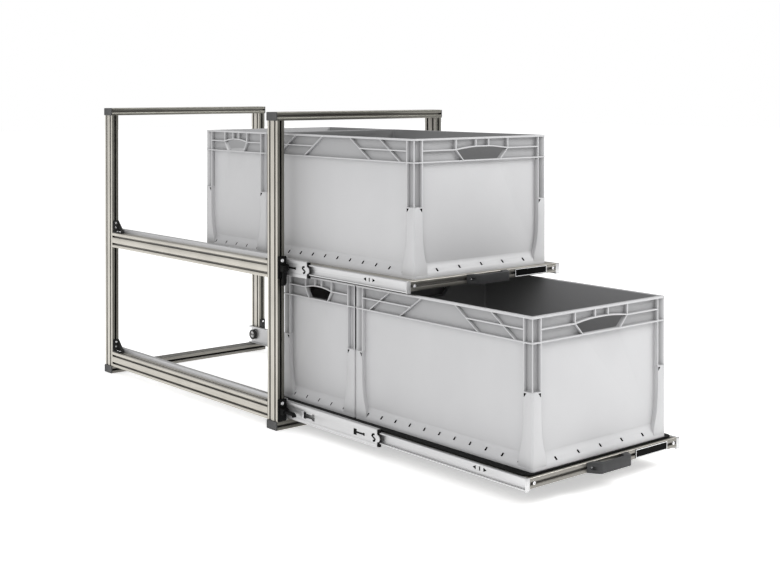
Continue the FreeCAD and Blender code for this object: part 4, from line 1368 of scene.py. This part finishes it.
@dataclass
class Slides:
    """Intermediate and inner slide members with their ball cages."""

    palette: Palette
    sheet: float = 2.5
    middle_tall: float = 59.0
    middle_lip: float = 7.0
    inner_tall: float = 36.0
    inner_lip: float = 4.0
    inner_wide: float = 12.5
    web_back: float = 10.0
    band_deep: float = 0.7
    tab: float = 12.0
    nose: float = 2.3
    stroke: float = 6.6
    hook: tuple[tuple[float, float], ...] = (
        (-3.0, 11.0), (6.0, 8.5), (8.0, 4.5), (-7.0, -4.5), (-5.0, -9.0), (2.5, -11.0)
    )
    hook_back: float = 17.0
    key_back: float = 94.0
    bone_back: float = 360.0
    mark_back: float = 200.0
    mark_gap: float = 22.0
    mark_half: float = 6.0
    cage_near: float = 336.5
    cage_far: float = 344.3
    cage_out: float = 9.0
    cage_long: float = 320.0

    def build(self) -> None:
        """Model the members of every tier."""
        for tier in TIERS:
            for side, sign in SIDES.items():
                self.middle(tier, side, sign)
                self.inner(tier, side, sign)
            self.cages(tier)

    def box(self, sign: int, across: Row, along: Row, up: Row) -> Blank:
        """A block between two distances from the middle plane."""
        return Blank.slab(Axis.X, span(sign, *across), along, up)

    def bar(self, sign: int, near: float, far: float, along: Row, up: Row) -> Blank:
        """A solid bar, with its edges away from the middle plane selected."""
        return self.box(sign, (near, far), along, up).edges(Axis.Y, lambda c: abs(c.x) > far - 1)

    def hollow(self, bar: Blank, sign: int, ranges: Sequence[Row], lip: float) -> None:
        """Cut a bar open between its lips, and then hollow it.

        Args:
            bar: The bar.
            sign: -1 or 1 for the side.
            ranges: Distances of the opening and of the room behind it, the bar's length, its heights.
            lip: How high its lips are.
        """
        opening, room, (front, rear), (under, top) = ranges
        for across, edge in ((opening, lip), (room, self.sheet)):
            bar.cut(self.box(sign, across, (front - PAST, rear + PAST), (under + edge, top - edge)))

    def middle(self, tier: str, side: str, sign: int) -> None:
        """The member with a flat outer face, a front tab and three cut-outs."""
        node = f"slide_middle_{tier}_{side}"
        low, high = box_of(node)
        near, far = sorted((abs(low.x), abs(high.x)))
        front, top = low.y + self.tab, high.z
        under = top - self.middle_tall
        centre = (top + under) / 2
        along, up = (front, high.y), (under, top)
        bar = self.bar(sign, near, far, along, up).chamfer(2.6, 4)
        sheet, web = self.sheet, far - self.band_deep
        opening, room = (near - PAST, near + sheet + 1), (near + sheet, far - sheet)
        self.hollow(bar, sign, (opening, room, along, up), self.middle_lip)
        band = self.box(sign, (web, far + PAST), (front - PAST, high.y + PAST), (under + 12, top - 12))
        bar.cut(band.edges(Axis.Y, lambda c: abs(c.x) < far).chamfer(0.6, 2))
        tab = Blank.disc((sign * (web - sheet / 2), front, centre), self.tab, sheet, Axis.X, 40)
        bar = joined([bar.dress(self.palette.zinc), tab.dress(self.palette.zinc)]).dress(self.palette.zinc)
        # The faces of the cut-outs take the black painted shadow.
        bar.cut(joined(self.relief(sign, (web - sheet + 0.4, far + 3), front, centre)).dress(self.palette.shadow))
        bar.soften(0.35, 2, 40).smooth(35)
        bar.named(f"rolled_{node}", f"{tier}_stage", "slide_steel", node)

    def relief(self, sign: int, across: Row, front: float, z: float) -> list[Blank]:
        """Model what cuts the curved slot, the keyhole and the long slot into the web.

        Args:
            sign: -1 or 1 for the side.
            across: Distances from the middle plane.
            front: Where the web starts.
            z: Its middle height.

        Returns:
            The cutters.
        """
        half = self.stroke / 2
        made = []
        for (y0, z0), (y1, z1) in zip(self.hook, self.hook[1:]):
            length = math.hypot(y1 - y0, z1 - z0) / 2 + half * 0.6
            at = Vector((0, front + self.hook_back + (y0 + y1) / 2, z + (z0 + z1) / 2))
            piece = self.box(sign, across, (at.y - length, at.y + length), (at.z - half, at.z + half))
            made.append(piece.all().spin_round(math.degrees(math.atan2(z1 - z0, y1 - y0)), Axis.X, at))
        key, bone = front + self.key_back, front + self.bone_back
        holes = (
            (key, 9, 25, 10), (key, -26, 11, 3), (key, -32, -24, 4.5),
            (bone, -30, 30, 7), (bone, -30.5, -17, 11.5), (bone, 17, 30.5, 11.5),
        )
        for y, start, end, tall in holes:
            made.append(self.box(sign, across, (y + start, y + end), (z - tall, z + tall)))
        return made

    def inner(self, tier: str, side: str, sign: int) -> None:
        """The member on the tray, with a closed nose and three marks."""
        node = f"slide_inner_{tier}_{side}"
        low, high = box_of(node)
        near, nose = sorted((abs(low.x), abs(high.x)))
        far = near + self.inner_wide
        front, top = low.y, high.z - 1
        under = top - self.inner_tall
        along, up = (front, high.y), (under, top)
        bar = self.bar(sign, near, far, along, up).chamfer(1.8, 4)
        sheet, web = self.sheet, far - self.web_back
        opening, room = (far - sheet - 1, far + PAST), (web, far - sheet)
        self.hollow(bar, sign, (opening, room, along, up), self.inner_lip)
        bar.dress(self.palette.zinc)
        across = (web - 1.8, web + 1)
        y, z, half = front + self.mark_back, (top + under) / 2 + 2, self.mark_half
        marks = [self.box(sign, across, (y - 2.2, y + 2.2), (z - half, z + half))]
        for way in ENDS:
            at = y + way * self.mark_gap
            tip = self.box(sign, across, (at - half, at + half), (z - half, z + half))
            marks.append(tip.facing((0, way, 0)).grow(Axis.Z.stretch(0.1), (0, y, z)))
        # The marks are shallow pockets whose black floor is painted shadow, in place of the shade seen through a
        # hole.
        bar.cut(joined(marks).dress(self.palette.shadow))
        cap = self.bar(sign, near, nose, (front, front + self.nose), (under - 1, top + 1)).chamfer(4, 4)
        cap.pick(lambda c, d: c.y < front + 0.1, Kind.EDGE).chamfer(0.8, 2).dress(self.palette.zinc)
        bar = joined([bar.soften(0.35, 2, 40), cap]).smooth(35)
        bar.named(f"rolled_{node}", f"{tier}_tray", "slide_steel", node)

    def cages(self, tier: str) -> None:
        """Black ball cages round the inner members, seen at the front of the web."""
        node = f"ball_cages_{tier}"
        low, high = box_of(f"slide_middle_{tier}_left")
        front, top = low.y + self.tab, high.z
        under = top - self.middle_tall
        roof = box_of(f"slide_inner_{tier}_left")[1].z - 1
        floor = roof - self.inner_tall - 0.6
        made = []
        for sign in ENDS:
            along = (front - self.cage_out, front + self.cage_long)
            for up in ((roof + 0.6, top - 2.9), (under + 2.9, floor)):
                made.append(self.box(sign, (self.cage_near, self.cage_far), along, up))
            web = (self.cage_far - 1.4, self.cage_far)
            made.append(self.box(sign, web, (along[0] + 2, along[1]), (floor - 1, roof + 1)))
        cages = joined(made).soften(0.5, 2, 40).smooth(35).dress(self.palette.black)
        cages.named(f"moulded_{node}", f"{tier}_stage", "black_plastic", node)


# -------- studio


@dataclass
class Studio:
    """Pale floor, soft light and the camera."""

    eye: Triple = (-2.960, -3.669, 1.180)
    yaw: float = -40.30
    pitch: float = 0.435
    lens: float = 59.55
    shift: float = -0.2485
    sky: float = 1.03
    dim: float = 0.2
    haze: float = 0.5
    glow: float = 0.5
    aim: Triple = (0.0, -0.2, 0.5)

    def build(self) -> None:
        """Set up the stage."""
        bpy.context.scene.view_settings.view_transform = "Standard"
        self.floor()
        self.light()
        self.camera()

    def floor(self) -> None:
        """A large pale floor."""
        clear_selection()
        bpy.ops.mesh.primitive_plane_add(size=60, location=(0, 0, -0.0005))
        floor = bpy.context.object
        floor.name = "studio_floor"
        graph = Finish("studio_floor")
        cloud = graph.noise(graph.place(), 0.8, 2.0)
        pale = graph.mix(grey(0.9), grey(0.93), cloud)
        graph.set(Base_Color=pale, Roughness=0.8, Emission_Color=WHITE, Emission_Strength=self.glow)
        floor.data.materials.append(graph.material)
        floor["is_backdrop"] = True

    def light(self) -> None:
        """A bright surround with two large soft lamps."""
        world = bpy.context.scene.world or bpy.data.worlds.new("studio")
        bpy.context.scene.world = world
        world.use_nodes = True
        self.surround(Graph(world.node_tree))
        lamps = (("key", (2.6, -3.4, 3.6), 2.6, 170.0), ("fill", (-3.4, -2.0, 2.6), 2.8, 40.0))
        for name, place, size, power in lamps:
            clear_selection()
            bpy.ops.object.light_add(type="AREA", location=place)
            lamp = bpy.context.object
            lamp.name = f"studio_{name}"
            lamp.data.size = size
            lamp.data.energy = power
            lamp.rotation_euler = (Vector(self.aim) - Vector(place)).to_track_quat("-Z", "Y").to_euler()

    def surround(self, graph: Graph) -> None:
        """A white backdrop whose reflection darkens low on the camera's right and beyond the rack."""
        place = graph.place("Generated")
        right = graph.dot(place, (0.63, -0.76, -0.1)).step(0.45, 0.95, self.sky, self.dim)
        seen = graph.value("ShaderNodeBackground", 0, None, {"Color": WHITE, "Strength": 1.0})
        beyond = graph.dot(place, (0.647, 0.763, 0.0)).step(0.7, 0.97, 1.0, self.haze)
        felt = graph.value("ShaderNodeBackground", 0, None, {"Strength": right * beyond})
        camera = graph.value("ShaderNodeLightPath", "Is Camera Ray")
        both = graph.value("ShaderNodeMixShader", 0, None, {0: camera, 1: felt, 2: seen})
        graph.node("ShaderNodeOutputWorld", None, {"Surface": both})

    def camera(self) -> None:
        """The camera at the photograph's place and angle."""
        clear_selection()
        turn = (math.radians(90 - self.pitch), 0, math.radians(self.yaw))
        bpy.ops.object.camera_add(location=self.eye, rotation=turn)
        camera = bpy.context.object
        camera.name = "studio_camera"
        camera.data.lens = self.lens
        camera.data.sensor_width = 36
        camera.data.shift_y = self.shift
        camera.data.clip_end = 100
        bpy.context.scene.camera = camera


def as_lists(corners: Iterable[Vector]) -> list[list[float]]:
    """Two corners as plain numbers."""
    return [list(corner) for corner in corners]


def main() -> None:
    """Build every piece, dress it and set up the studio."""
    logging.basicConfig(level=logging.INFO, format="%(message)s")
    before = as_lists(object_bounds())
    palette = Palette()
    Frame(palette).build()
    CrateSet(palette).build()
    for tier in TIERS:
        Handle(palette).build(tier)
        Badge(palette).build(tier)
    Boards(palette).build()
    Fittings(palette).build()
    Slides(palette).build()
    Screws(palette).build()
    Studio().build()
    clear_selection()
    {"before": before, "after": as_lists(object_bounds())}


if __name__ == "__main__":
    main()
